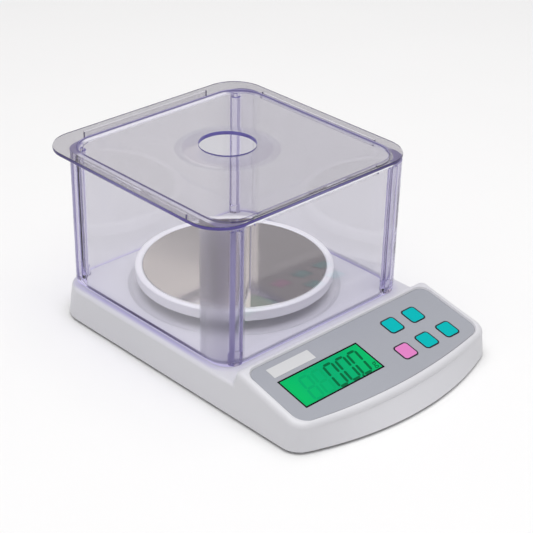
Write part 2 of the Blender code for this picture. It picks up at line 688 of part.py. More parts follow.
def overlay_pocket(frame):
    """Cutter for the overlay's seat, with the rim's soft slope above it."""
    rings = [[(x, v, POCKET_FLOOR) for x, v in overlay_outline(GAP)]]
    for out_share, up_share in RIM_SLOPE_SHARES:
        outline = overlay_outline(GAP + RIM_SLOPE * out_share)
        rings.append([(x, v, PANEL_RIM * up_share) for x, v in outline])
    rings.append([(x, v, PANEL_RIM + OVERRUN) for x, v in overlay_outline(2 * GAP + RIM_SLOPE)])
    return loft(rings, "overlay_pocket", parent=frame)


def case_screw_places():
    return [(sx * x, y) for x, y in (SCREW_BACK, SCREW_FRONT) for sx in (-1, 1)]


def boss_roof(y):
    """Height that a boss must reach to run into the roof above it."""
    if y > PANEL_Y:
        return ROOF_UNDER + GAP
    middle = PANEL_Z + (y - PANEL_Y) * math.tan(PANEL_SLOPE)
    return middle + BOSS_RADIUS * math.tan(PANEL_SLOPE) + PANEL_UNDER + GAP / 2


def add_case_bosses(made):
    for x, y in case_screw_places():
        join(made, disc(x, y, BOSS_RADIUS, BOSS_FOOT, boss_roof(y), 16))
        cut(made, disc(x, y, SCREW_SHANK + GAP, BOSS_FOOT - OVERRUN, FLOOR_BOTTOM + SCREW_SINK
                       + SCREW_ABOVE_FLOOR + GAP, 12))


def board_screw_places():
    back = BOARD_BACK_V - BOARD_SCREW_INSET
    front = BOARD_FRONT_V + BOARD_SCREW_INSET
    return [(-BOARD_SCREW_X, back), (BOARD_SCREW_X, back), (-BOARD_SCREW_X, front),
            (BOARD_SCREW_MIDDLE_X, front)]


def add_board_bosses(made, frame):
    tip = BOARD_BOTTOM - GAP + BOARD_SCREW_LONG
    for x, v in board_screw_places():
        join(made, disc(x, v, BOARD_BOSS, BOARD_TOP + GAP, PANEL_UNDER + GAP, 12, parent=frame))
        cut(made, disc(x, v, BOARD_SCREW_SHANK + GAP, BOARD_TOP - OVERRUN, tip + GAP, 12, parent=frame))


def overlay(frame, look):
    made = prism(overlay_outline(), -OVERLAY_THICK, 0.0, "console_overlay", parent=frame)
    cut(made, prism(window_outline(GAP), -OVERRUN, OVERRUN, parent=frame))
    for x, v in KEY_PLACES.values():
        cut(made, prism(key_outline(x, v, GAP), -OVERRUN, OVERRUN, parent=frame))
    return finish(made, look)


def display(frame):
    window = prism(window_outline(), -WINDOW_THICK, 0.0, "display_window", parent=frame)
    finish(window, material("window", LCD_GREEN, 0.1))
    glass = prism(window_outline(GLASS_MARGIN, GAP), GLASS_BOTTOM, GLASS_TOP, "display_glass", parent=frame)
    finish(glass, material("display", LCD_GREEN, 0.2))
    light = prism(window_outline(GLASS_MARGIN, GAP), LIGHT_BOTTOM, LIGHT_TOP,
                  "display_backlight", parent=frame)
    finish(light, material("light_guide", WARM_WHITE, 0.4))


def key(name, x, v, frame, look):
    made = prism(key_outline(0.0, 0.0), PANEL_UNDER - GAP - KEY_FLANGE_THICK / 2, KEY_PROUD, name,
                 parent=frame, location=(x, v, 0.0))
    join(made, prism(key_outline(0.0, 0.0, KEY_FLANGE), FLANGE_BOTTOM, PANEL_UNDER - GAP,
                     parent=frame, location=(x, v, 0.0)))
    return finish(made, look)


def switch(name, x, v, frame, look):
    half = SWITCH_SIDE / 2
    made = prism(rounded_rect(0.0, 0.0, half, half, GAP, 2), BOARD_TOP + GAP, SWITCH_TOP, name,
                 parent=frame, location=(x, v, 0.0))
    join(made, disc(0.0, 0.0, SWITCH_PLUNGER, SWITCH_TOP - GAP, PLUNGER_TOP, 16,
                    parent=frame, location=(x, v, 0.0)))
    return finish(made, look)


def keys_and_switches(frame):
    teal = material("key_teal", TEAL, 0.35)
    pink = material("key_pink", PINK, 0.35)
    dark = material("switch", (0.03, 0.03, 0.03), 0.5)
    for name, (x, v) in KEY_PLACES.items():
        key(name, x, v, frame, pink if name == "key_front_left" else teal)
        switch(name.replace("key", "switch"), x, v, frame, dark)


def main_board(frame):
    middle = (BOARD_BACK_V + BOARD_FRONT_V) / 2
    depth = (BOARD_BACK_V - BOARD_FRONT_V) / 2
    made = prism(rounded_rect(0.0, middle, BOARD_HALF, depth, BOARD_CORNER), BOARD_BOTTOM, BOARD_TOP,
                 "main_board", parent=frame)
    for x, v in board_screw_places():
        cut(made, disc(x, v, BOARD_SCREW_SHANK + GAP, BOARD_BOTTOM - OVERRUN, BOARD_TOP + OVERRUN, 12,
                       parent=frame))
    finish(made, material("board", (0.02, 0.16, 0.07), 0.5))
    half = CHIP_SIDE / 2
    chip = prism(rounded_rect(CHIP_X, CHIP_V, half, half, CELL_CORNER, 2), BOARD_BOTTOM - GAP - CHIP_THICK,
                 BOARD_BOTTOM - GAP, "controller_chip", parent=frame)
    finish(chip, material("chip", (0.02, 0.02, 0.02), 0.4))
    for i, (x, v) in enumerate(board_screw_places()):
        top = BOARD_BOTTOM - GAP
        pieces = disc(x, v, BOARD_SCREW_HEAD, top - BOARD_SCREW_HEAD_HIGH, top, 16,
                      f"board_screw_{i + 1}", parent=frame)
        join(pieces, disc(x, v, BOARD_SCREW_SHANK, top - GAP, top + BOARD_SCREW_LONG, 12, parent=frame))
        finish(pieces, material("screw_steel", STEEL, 0.35, 1.0))


def lower_outline(shrink=0.0):
    inset = WALL + LOWER_INSET + shrink
    half = side_half(LIP_TOP) - inset
    return bowed_outline(half, back_edge(LIP_TOP) - inset, LOWER_FRONT + shrink,
                         LOWER_BOW, BACK_CORNER - inset, FRONT_CORNER - shrink)


def lower_case(look):
    made = prism(lower_outline(), FLOOR_BOTTOM, LIP_TOP, "lower_case")
    cut(made, prism(lower_outline(LIP_WALL), FLOOR_TOP, LIP_TOP + OVERRUN))
    outer_x = BAY_HALF_X + BAY_WALL
    outer_y = BAY_HALF_Y + BAY_WALL
    join(made, block(-outer_x, outer_x, BAY_Y - outer_y, BAY_Y + outer_y, FLOOR_TOP - GAP,
                     BAY_TOP + BAY_WALL))
    cut(made, block(-BAY_HALF_X, BAY_HALF_X, BAY_Y - BAY_HALF_Y, BAY_Y + BAY_HALF_Y,
                    FLOOR_BOTTOM - OVERRUN, BAY_TOP))
    door = rounded_rect(0.0, BAY_Y, outer_x + GAP, outer_y + GAP, DOOR_CORNER + GAP, 3)
    cut(made, prism(door, FLOOR_BOTTOM - OVERRUN, DOOR_TOP + GAP))
    for x, y in foot_places():
        cut(made, disc(x, y, FOOT_RADIUS + GAP, FLOOR_BOTTOM - OVERRUN, FLOOR_BOTTOM + FOOT_RECESS, 24))
    for x, y in case_screw_places():
        join(made, disc(x, y, SEAT_PAD, FLOOR_TOP - GAP, FLOOR_TOP + SEAT_PAD_HIGH, 20))
        cut(made, disc(x, y, SCREW_HEAD + GAP, FLOOR_BOTTOM - OVERRUN, FLOOR_BOTTOM + SCREW_SINK, 20))
        cut(made, disc(x, y, SCREW_SHANK + GAP, FLOOR_BOTTOM, FLOOR_TOP + OVERRUN, 16))
    for y in (-CELL_SCREW_Y, CELL_SCREW_Y):
        cut(made, disc(cell_screw_x(-1), PAN_Y + y, CELL_SCREW_HEAD + GAP, FLOOR_BOTTOM - OVERRUN,
                       FLOOR_TOP + OVERRUN, 16))
    slot = JACK_NOSE + GAP
    cut(made, block(JACK_X - slot, JACK_X + slot, socket_face() - GAP, CASE_BACK, JACK_Z - slot,
                    LIP_TOP + OVERRUN))
    return finish(made, look)


def foot_places():
    return [(sx * FOOT_X, y) for y in (FOOT_BACK_Y, FOOT_FRONT_Y) for sx in (-1, 1)]


def feet(look):
    top = FLOOR_BOTTOM + FOOT_RECESS - GAP
    profile = [(0.0, 0.0), (FOOT_RADIUS - FOOT_TAPER, 0.0), (FOOT_RADIUS, FOOT_TAPER), (FOOT_RADIUS, top),
               (0.0, top)]
    for i, (x, y) in enumerate(foot_places()):
        foot = revolve(profile, 32, name=f"foot_{i + 1}", location=(x, y, 0.0))
        finish(foot, look)


def case_screws(look):
    head_bottom = FLOOR_BOTTOM + SCREW_SINK - GAP - SCREW_HEAD_HIGH
    head_top = FLOOR_BOTTOM + SCREW_SINK - GAP
    tip = head_top + SCREW_ABOVE_FLOOR
    for i, (x, y) in enumerate(case_screw_places()):
        made = disc(x, y, SCREW_HEAD, head_bottom, head_top, 20, f"case_screw_{i + 1}")
        join(made, disc(x, y, SCREW_SHANK, head_top - GAP, tip, 12))
        finish(made, look)


def cell_screw_x(side):
    return side * (CELL_HALF - CELL_SCREW_INSET)


def load_cell():
    half_y = CELL_WIDE / 2
    made = prism(rounded_rect(0.0, PAN_Y, CELL_HALF, half_y, CELL_CORNER, 2), CELL_BOTTOM, CELL_TOP,
                 "load_cell")
    middle = (CELL_BOTTOM + CELL_TOP) / 2
    for x in (-CELL_EYE_X, CELL_EYE_X):
        eye = disc(0.0, 0.0, CELL_EYE, -CELL_WIDE, CELL_WIDE, 24)
        eye.rotation_euler = (math.pi / 2, 0.0, 0.0)
        eye.location = (x, PAN_Y, middle)
        cut(made, eye)
    cut(made, block(-CELL_EYE_X, CELL_EYE_X, PAN_Y - CELL_WIDE, PAN_Y + CELL_WIDE,
                    middle - CELL_SLOT, middle + CELL_SLOT))
    for side in (-1, 1):
        for y in (-CELL_SCREW_Y, CELL_SCREW_Y):
            cut(made, disc(cell_screw_x(side), PAN_Y + y, CELL_SCREW_SHANK + GAP,
                           CELL_BOTTOM - OVERRUN, CELL_TOP + OVERRUN, 12))
    finish(made, material("cell_aluminium", (0.75, 0.76, 0.78), 0.35, 1.0))
    spacer = block(-CELL_HALF, CELL_END - CELL_HALF, PAN_Y - half_y, PAN_Y + half_y, FLOOR_TOP + GAP,
                   CELL_BOTTOM - GAP, "cell_spacer")
    for y in (-CELL_SCREW_Y, CELL_SCREW_Y):
        cut(spacer, disc(cell_screw_x(-1), PAN_Y + y, CELL_SCREW_SHANK + GAP, FLOOR_TOP - OVERRUN,
                         CELL_BOTTOM + OVERRUN, 12))
    finish(spacer, material("cell_aluminium", (0.75, 0.76, 0.78), 0.35, 1.0))


def cell_screws(look):
    number = 1
    for side, seat, tip in ((-1, FLOOR_TOP, CELL_TOP), (1, CELL_BOTTOM, CARRIER_TOP)):
        for y in (-CELL_SCREW_Y, CELL_SCREW_Y):
            x = cell_screw_x(side)
            head_top = seat - GAP
            made = disc(x, PAN_Y + y, CELL_SCREW_HEAD, head_top - CELL_SCREW_HEAD_HIGH, head_top, 16,
                        f"cell_screw_{number}")
            join(made, disc(x, PAN_Y + y, CELL_SCREW_SHANK, head_top - GAP, tip - GAP, 12))
            finish(made, look)
            number += 1


def pan_carrier():
    """Bracket on the free end of the load cell, with the post that holds the tray."""
    half_y = CELL_WIDE / 2 + CARRIER_BESIDE
    left = -SHOULDER_RADIUS
    middle = (CELL_HALF + left) / 2
    half_x = (CELL_HALF - left) / 2
    arm = rounded_rect(middle, PAN_Y, half_x, half_y, CARRIER_CORNER)
    made = prism(arm, CARRIER_BOTTOM + CARRIER_THICK / 2, CARRIER_TOP, "pan_carrier")
    join(made, block(CELL_HALF - CELL_END, CELL_HALF, PAN_Y - half_y, PAN_Y + half_y, CARRIER_BOTTOM,
                     CARRIER_TOP - GAP))
    profile = [(0.0, CARRIER_TOP - GAP), (POST_RADIUS, CARRIER_TOP - GAP),
               (POST_RADIUS, SHOULDER_TOP - SHOULDER_THICK), (SHOULDER_RADIUS, SHOULDER_TOP - SHOULDER_THICK),
               (SHOULDER_RADIUS, SHOULDER_TOP), (POST_RADIUS, SHOULDER_TOP),
               (POST_RADIUS, SHOULDER_TOP + POST_ABOVE_SHOULDER - GAP),
               (POST_RADIUS - GAP, SHOULDER_TOP + POST_ABOVE_SHOULDER),
               (0.0, SHOULDER_TOP + POST_ABOVE_SHOULDER)]
    join(made, revolve(profile, 32, y=PAN_Y))
    for y in (-CELL_SCREW_Y, CELL_SCREW_Y):
        cut(made, disc(cell_screw_x(1), PAN_Y + y, CELL_SCREW_SHANK + GAP, CARRIER_BOTTOM - OVERRUN,
                       CARRIER_TOP + OVERRUN, 12))
    place_origin(made, 0.0, PAN_Y, CARRIER_BOTTOM)
    return finish(made, material("carrier", (0.75, 0.76, 0.78), 0.4, 1.0))


def pan_tray(look):
    seat = PLATE_TOP - PLATE_THICK - GAP
    inner = PLATE_RADIUS + GAP
    crown = (TRAY_RADIUS + inner) / 2
    crown_half = (TRAY_RADIUS - inner) / 2
    rim = []
    for i in range(RIM_STEPS + 1):
        angle = math.pi * i / RIM_STEPS
        rise = crown_half * 0.5
        rim.append((crown + crown_half * math.cos(angle), TRAY_RIM_TOP - rise + rise * math.sin(angle)))
    under = seat - TRAY_WALL
    bore = POST_RADIUS + GAP
    bore_top = SHOULDER_TOP + POST_ABOVE_SHOULDER + GAP
    profile = [(0.0, bore_top), (bore, bore_top), (bore, TRAY_HUB_FOOT), (TRAY_HUB, TRAY_HUB_FOOT),
               (TRAY_HUB, under), (TRAY_RADIUS - TRAY_WALL, under), (TRAY_RADIUS - TRAY_WALL, TRAY_SKIRT),
               (TRAY_RADIUS - GAP, TRAY_SKIRT)]
    profile += rim
    profile += [(inner, seat), (0.0, seat)]
    made = revolve(profile, y=PAN_Y, name="pan_tray")
    rib_low = TRAY_SKIRT + GAP
    for i in range(TRAY_RIBS):
        rib = block(TRAY_HUB - GAP, TRAY_RADIUS - TRAY_WALL + GAP, -TRAY_RIB / 2, TRAY_RIB / 2, rib_low,
                    under + GAP)
        rib.location = (0.0, PAN_Y, 0.0)
        rib.rotation_euler = (0.0, 0.0, 2 * math.pi * i / TRAY_RIBS)
        join(made, rib)
    place_origin(made, 0.0, PAN_Y, TRAY_HUB_FOOT)
    return finish(made, look)


def pan_plate():
    bottom = PLATE_TOP - PLATE_THICK
    edge = PLATE_RADIUS - PLATE_EDGE
    profile = [(0.0, bottom), (edge, bottom), (PLATE_RADIUS, bottom + PLATE_EDGE),
               (PLATE_RADIUS, PLATE_TOP - PLATE_EDGE), (edge, PLATE_TOP), (0.0, PLATE_TOP)]
    made = revolve(profile, y=PAN_Y, name="pan_plate")
    place_origin(made, 0.0, PAN_Y, bottom)
    return finish(made, material("pan_steel", STEEL, 0.12, 1.0))


def shield_body(look):
    outer = rounded_rect(0.0, PAN_Y, SHIELD_HALF, SHIELD_HALF, SHIELD_CORNER, 8)
    wide = SHIELD_HALF + SHIELD_DRAFT
    outer_top = rounded_rect(0.0, PAN_Y, wide, wide, SHIELD_CORNER, 8)
    made = loft([level(outer, SHIELD_BOTTOM), level(outer_top, SHIELD_TOP)], "shield_body")
    slope = SHIELD_DRAFT / (SHIELD_TOP - SHIELD_BOTTOM)
    low = SHIELD_INNER - slope * OVERRUN
    high = SHIELD_INNER_TOP + slope * OVERRUN
    inner = rounded_rect(0.0, PAN_Y, low, low, SHIELD_INNER_CORNER, 8)
    inner_top = rounded_rect(0.0, PAN_Y, high, high, SHIELD_INNER_CORNER, 8)
    cut(made, loft([level(inner, SHIELD_BOTTOM - OVERRUN), level(inner_top, SHIELD_TOP + OVERRUN)]))
    peg_top = SHIELD_POST_TOP + SHIELD_PEG_HIGH
    foot_top = SHIELD_BOTTOM + SHIELD_POST_FOOT_HIGH
    profile = [(0.0, SHIELD_BOTTOM), (SHIELD_POST_FOOT, SHIELD_BOTTOM), (SHIELD_POST_FOOT, foot_top),
               (SHIELD_POST, foot_top), (SHIELD_POST, SHIELD_POST_TOP),
               (SHIELD_PEG, SHIELD_POST_TOP), (SHIELD_PEG, peg_top - SHIELD_PEG_ROUND),
               (SHIELD_PEG - SHIELD_PEG_ROUND, peg_top), (0.0, peg_top)]
    for sx in (-1, 1):
        for sy in (-1, 1):
            join(made, revolve(profile, 20, sx * SHIELD_POST_X, PAN_Y + sy * POST_Y))
    place_origin(made, 0.0, PAN_Y, SHIELD_BOTTOM)
    return finish(made, look)


def lid_edge_rings(half_x, half_y, corner):
    rings = []
    for inset, z in ((LID_EDGE, LID_UNDER), (0.0, LID_UNDER + LID_EDGE), (0.0, LID_TOP - LID_EDGE),
                     (LID_EDGE, LID_TOP)):
        rings.append(level(rounded_rect(LID_X, LID_Y, half_x - inset, half_y - inset, corner - inset, 8), z))
    return rings


def lip_places():
    """Middle and half sizes of the four straight lips that keep the lid from sliding off."""
    out = LIP_HALF + LIP_THICK / 2
    places = [(LID_X + side * out, LID_Y, LIP_THICK / 2, LIP_LONG / 2) for side in (-1, 1)]
    return places + [(LID_X, LID_Y + side * out, LIP_LONG / 2, LIP_THICK / 2) for side in (-1, 1)]


def shield_lid(look):
    made = loft(lid_edge_rings(LID_HALF_X, LID_HALF_Y, LID_CORNER), "shield_lid")
    under_half = SHIELD_INNER_TOP - 2 * SEAT
    under = rounded_rect(0.0, PAN_Y, under_half, under_half, PANEL_CORNER, 8)
    join(made, prism(under, PANEL_BOTTOM, LID_UNDER + LID_EDGE))
    for x, y, half_x, half_y in lip_places():
        join(made, block(x - half_x, x + half_x, y - half_y, y + half_y, PANEL_BOTTOM - LIP_DEEP,
                         LID_UNDER + GAP))
    upper = rounded_rect(0.0, PANEL_MIDDLE_Y, PANEL_HALF, PANEL_HALF, PANEL_CORNER, 8)
    cut(made, prism(upper, PANEL_TOP, LID_TOP + OVERRUN))
    rim = PANEL_TOP + COLLAR_RISE
    inside = HOLE_RADIUS - GAP
    collar = [(inside, PANEL_BOTTOM + GAP), (COLLAR_RADIUS, PANEL_BOTTOM + GAP), (COLLAR_RADIUS, PANEL_TOP),
              (HOLE_RADIUS + COLLAR_ROUND, rim), (inside, rim)]
    join(made, revolve(collar, y=HOLE_Y))
    hollow = [(0.0, PANEL_BOTTOM - OVERRUN), (COLLAR_RADIUS, PANEL_BOTTOM - OVERRUN),
              (COLLAR_RADIUS, PANEL_BOTTOM), (HOLE_RADIUS, PANEL_BOTTOM + COLLAR_RISE),
              (HOLE_RADIUS, rim - COLLAR_ROUND), (HOLE_RADIUS + COLLAR_ROUND, rim + GAP),
              (0.0, rim + GAP)]
    cut(made, revolve(hollow, y=HOLE_Y))
    place_origin(made, 0.0, PAN_Y, LID_UNDER)
    return finish(made, look)


def battery_door(look):
    outer_x = BAY_HALF_X + BAY_WALL
    outer_y = BAY_HALF_Y + BAY_WALL
    made = prism(rounded_rect(0.0, BAY_Y, outer_x, outer_y, DOOR_CORNER, 3), FLOOR_BOTTOM, DOOR_TOP,
                 "battery_door")
    grip = disc(0.0, 0.0, DOOR_GRIP, FLOOR_BOTTOM - OVERRUN, FLOOR_BOTTOM + DOOR_THICK / 2, 24)
    grip.location = (0.0, BAY_Y + outer_y - DOOR_GRIP - DOOR_CORNER, 0.0)
    cut(made, grip)
    place_origin(made, 0.0, BAY_Y, FLOOR_BOTTOM)
    return finish(made, look)


def dry_cells():
    """Two cells side by side, head to tail, with a spring, a plate and a strip as contacts."""
    jacket = material("cell_jacket", (0.10, 0.10, 0.11), 0.35, 0.2)
    metal = material("contact", STEEL, 0.3, 1.0)
    half = DRY_CELL_LONG / 2
    for i, side in enumerate((-1, 1)):
        y = BAY_Y + side * DRY_CELL_PITCH / 2
        profile = [(0.0, -half), (CELL_RADIUS, -half), (CELL_RADIUS, half),
                   (DRY_CELL_NUB, half), (DRY_CELL_NUB, half + DRY_CELL_NUB_LONG),
                   (0.0, half + DRY_CELL_NUB_LONG)]
        made = revolve(profile, 32, name=f"dry_cell_{i + 1}")
        made.rotation_euler = (0.0, side * math.pi / 2, 0.0)
        made.location = (0.0, y, DRY_CELL_Z)
        finish(made, jacket)
        contact_spring(f"contact_spring_{i + 1}", -side, y, metal)
        x = side * (half + DRY_CELL_NUB_LONG + GAP)
        x_far = side * (half + DRY_CELL_NUB_LONG + GAP + CONTACT_THICK)
        strip = block(min(x, x_far), max(x, x_far), y - CELL_RADIUS + BAY_CLEAR, y + CELL_RADIUS - BAY_CLEAR,
                      DRY_CELL_Z - CELL_RADIUS + BAY_CLEAR, DRY_CELL_Z + CELL_RADIUS - BAY_CLEAR,
                      f"contact_plate_{i + 1}")
        finish(strip, metal)


def contact_spring(name, side, y, look):
    """Coil that presses on a cell's flat end, as one unbroken wire."""
    start = DRY_CELL_LONG / 2 + GAP + SPRING_WIRE
    end = BAY_HALF_X - GAP - SPRING_WIRE
    curve = bpy.data.curves.new(name, "CURVE")
    curve.dimensions = "3D"
    curve.bevel_depth = SPRING_WIRE
    curve.bevel_resolution = 1
    curve.use_fill_caps = True
    steps = SPRING_TURNS * COIL_STEPS
    spline = curve.splines.new("POLY")
    spline.points.add(steps)
    for i in range(steps + 1):
        share = i / steps
        angle = 2 * math.pi * SPRING_TURNS * share
        along = side * (start + (end - start) * share)
        spline.points[i].co = (along, y + SPRING_RADIUS * math.cos(angle),
                               DRY_CELL_Z + SPRING_RADIUS * math.sin(angle), 1.0)
    made = bpy.data.objects.new(name, curve)
    bpy.context.scene.collection.objects.link(made)
    curve.materials.append(look)
    return made


def socket_face():
    return back_edge(LIP_TOP) - WALL - LOWER_INSET - LIP_WALL - GAP


def adapter_socket(look):
    """Barrel socket behind the back wall, with its nose in the wall's hole."""
    face = socket_face()
    half = JACK_WIDE / 2
    made = block(JACK_X - half, JACK_X + half, face - JACK_LONG, face, JACK_Z - JACK_HIGH / 2,
                 JACK_Z + JACK_HIGH / 2, "adapter_socket")
    mouth = back_edge(JACK_Z)
    nose_long = mouth - face
    nose = disc(0.0, 0.0, JACK_NOSE, 0.0, nose_long + GAP, 24)
    nose.rotation_euler = (-math.pi / 2, 0.0, 0.0)
    nose.location = (JACK_X, face - GAP, JACK_Z)
    join(made, nose)
    bore = disc(0.0, 0.0, JACK_BORE, 0.0, JACK_BORE_DEEP + OVERRUN, 24)
    bore.rotation_euler = (-math.pi / 2, 0.0, 0.0)
    bore.location = (JACK_X, mouth - JACK_BORE_DEEP, JACK_Z)
    cut(made, bore)
    pin = disc(0.0, 0.0, JACK_PIN, 0.0, JACK_BORE_DEEP + GAP - JACK_PIN_BACK, 12)
    pin.rotation_euler = (-math.pi / 2, 0.0, 0.0)
    pin.location = (JACK_X, mouth - JACK_BORE_DEEP - GAP, JACK_Z)
    join(made, pin)
    return finish(made, look)


def main():
    clear_scene()
    case = material("case", WARM_WHITE, 0.38)
    clear = material("clear_plastic", CLEAR, 0.05, 0.0, 0.9)
    steel = material("screw_steel", STEEL, 0.35, 1.0)
    frame = panel_frame()
    upper_case(frame, case)
    overlay(frame, material("overlay", OVERLAY_GREY, 0.45))
    display(frame)
    keys_and_switches(frame)
    main_board(frame)
    lower_case(material("lower_case", WARM_WHITE, 0.5))
    feet(material("rubber", (0.04, 0.04, 0.04), 0.8))
    case_screws(steel)
    load_cell()
    cell_screws(steel)
    pan_carrier()
    pan_tray(material("tray", (0.84, 0.84, 0.86), 0.3))
    pan_plate()
    shield_body(clear)
    shield_lid(clear)
    battery_door(material("lower_case", WARM_WHITE, 0.5))
    dry_cells()
    adapter_socket(material("socket", (0.03, 0.03, 0.03), 0.5))


main()
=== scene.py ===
# %% [markdown]
# # Electronic balance with a draught shield
# A laboratory balance weighs in hundredths of a gram, so even a breath of air would disturb it.
# That is why its pan stands in a clear box with a loose lid. This lesson dresses the solid model of
# one: each piece is made again with fine curves where the eye would notice facets, and every
# surface gets a finish that is built from nodes.

# %% Load the solid model
import math

import bmesh
import bpy
from mathutils import Matrix, Vector


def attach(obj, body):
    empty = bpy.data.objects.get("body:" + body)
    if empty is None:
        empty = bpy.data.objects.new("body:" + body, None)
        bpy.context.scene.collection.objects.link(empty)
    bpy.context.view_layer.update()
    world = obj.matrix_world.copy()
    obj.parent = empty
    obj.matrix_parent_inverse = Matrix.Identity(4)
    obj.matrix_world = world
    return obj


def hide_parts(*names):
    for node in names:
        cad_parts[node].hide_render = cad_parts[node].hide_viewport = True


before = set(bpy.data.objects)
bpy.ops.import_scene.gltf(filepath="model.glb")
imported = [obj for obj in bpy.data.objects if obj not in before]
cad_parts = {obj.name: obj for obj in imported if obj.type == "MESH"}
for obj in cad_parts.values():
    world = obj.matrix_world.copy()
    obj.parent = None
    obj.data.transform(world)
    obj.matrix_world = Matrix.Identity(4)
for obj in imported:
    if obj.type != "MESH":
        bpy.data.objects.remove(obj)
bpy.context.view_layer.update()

# %% [markdown]
# ## Sizes
# Every length below is in millimetres, as a maker would read it from a drawing. The console is
# tilted, so the pieces on it are drawn flat, with x along its width, v up its slope and w above it.
# `on_panel` then leans each point back to its real place. One function for all of them keeps the
# overlay, the keys and the display in line with each other.

# %% Sizes and the leaning panel
MM = 0.001
PANEL_Y = -57.6
PANEL_Z = 30.45
PANEL_SLOPE = math.radians(12.87)
PAN_Y = 35.8            # middle of the pan, the tray and the shield
HOLE_Y = 43.4           # middle of the lid's finger hole
WELL_Y = 38.4           # middle of the lid's dropped panel
POST_X = 66.4           # the shield's posts, from its middle
POST_Y = 72.4
SHIELD_HALF = 77.1
SHIELD_CORNER = 12.5
QUARTER = math.pi / 2   # of a turn


def on_panel(x, v, w):
    cos_s = math.cos(PANEL_SLOPE)
    sin_s = math.sin(PANEL_SLOPE)
    return (x, PANEL_Y + v * cos_s - w * sin_s, PANEL_Z + v * sin_s + w * cos_s)


print("front edge of the panel:", [round(c, 1) for c in on_panel(0.0, -60.0, 0.0)])

# %% [markdown]
# ## The view
# The camera stands where the photographer stood, in front and to the left, looking a little down.
# A long lens keeps the box nearly square, which tells us that the photographer stood well back.

# %% Camera
LENS_MM = 105.79
lens = bpy.data.cameras.new("studio_camera")
lens.lens = LENS_MM
lens.sensor_width = 36.0
lens.clip_start = 0.05
lens.clip_end = 30.0
camera = bpy.data.objects.new("studio_camera", lens)
bpy.context.scene.collection.objects.link(camera)
camera.matrix_world = Matrix((
    (0.72565079, 0.319917, -0.60916667, -0.60786786),
    (-0.68781438, 0.36107728, -0.62970991, -0.62242811),
    (0.01850134, 0.8759431, 0.48205953, 0.52752456),
    (0.0, 0.0, 0.0, 1.0)))
bpy.context.scene.camera = camera
bpy.context.scene.view_settings.view_transform = "Standard"
print("lens:", lens.lens, "mm")

# %% [markdown]
# ## Short words for node trees
# Finishes, the surroundings and the shapes that repeat are all node trees, built here by the script.
# A few helpers keep those cells short: they add a sum, mix two colours, draw noise, split a vector
# into its axes, and map one range of values to another.

# %% Helpers for node trees


def new_group(name, inputs, outputs):
    group = bpy.data.node_groups.new(name, "ShaderNodeTree")
    for title, kind, value in inputs:
        socket = group.interface.new_socket(title, in_out="INPUT", socket_type=kind)
        socket.default_value = value
    for title, kind in outputs:
        group.interface.new_socket(title, in_out="OUTPUT", socket_type=kind)
    return group, group.nodes.new("NodeGroupInput"), group.nodes.new("NodeGroupOutput")


def wired(tree, value, socket):
    """Link a socket, or set a plain number or colour."""
    if isinstance(value, (int, float)):
        socket.default_value = value
    elif isinstance(value, tuple):
        socket.default_value = (*value, 1.0)
    elif value is not None:
        tree.links.new(value, socket)


def sum_node(tree, operation, first, second=None):
    """One step of arithmetic on sockets or plain numbers."""
    node = tree.nodes.new("ShaderNodeMath")
    node.operation = operation
    wired(tree, first, node.inputs[0])
    wired(tree, second, node.inputs[1])
    return node.outputs[0]


def product(tree, first, *others):
    for other in others:
        first = sum_node(tree, "MULTIPLY", first, other)
    return first


def distance_from(tree, value, middle):
    return sum_node(tree, "ABSOLUTE", sum_node(tree, "SUBTRACT", value, middle))


def mixed(tree, amount, first, second):
    node = tree.nodes.new("ShaderNodeMix")
    node.data_type = "RGBA"
    for title, value in (("Factor", amount), ("A", first), ("B", second)):
        wired(tree, value, node.inputs[title])
    return node.outputs["Result"]


def noise(tree, place, scale, detail=3.0):
    node = tree.nodes.new("ShaderNodeTexNoise")
    for title, value in (("Vector", place), ("Detail", detail), ("Scale", scale)):
        wired(tree, value, node.inputs[title])
    return node.outputs["Fac"]


def spread(tree, value, low, high, to_low, to_high):
    """Map the range low to high onto to_low to to_high, and stop at its ends."""
    node = tree.nodes.new("ShaderNodeMapRange")
    for title, number in (("Value", value), ("From Min", low), ("From Max", high), ("To Min", to_low),
                          ("To Max", to_high)):
        wired(tree, number, node.inputs[title])
    return node.outputs["Result"]


def fade_in(tree, value, low, high):
    return spread(tree, value, low, high, 0.0, 1.0)


def fade_out(tree, value, low, high):
    return spread(tree, value, low, high, 1.0, 0.0)


def object_place(tree):
    return tree.nodes.new("ShaderNodeTexCoord").outputs["Object"]


def split(tree, vector):
    node = tree.nodes.new("ShaderNodeSeparateXYZ")
    tree.links.new(vector, node.inputs[0])
    return node.outputs


print("helpers ready")

# %% [markdown]
# ## Floor and light
# A plain white floor with a big soft lamp above is how small products are photographed. Clear
# plastic and polished steel show what stands round them, so the surroundings matter as much as
# the lamps. The pan mirrors a narrow part of the room behind the balance: a grey wall on the right
# and a warm, bright window with a slanting sill on the left.

# %% Floor
floor_mesh = bpy.data.meshes.new("studio_floor")
far = 6.0
corners = [(-far, -far, 0), (far, -far, 0), (far, far, 0), (-far, far, 0)]
floor_mesh.from_pydata(corners, [], [(0, 1, 2, 3)])
studio_floor = bpy.data.objects.new("studio_floor", floor_mesh)
bpy.context.scene.collection.objects.link(studio_floor)

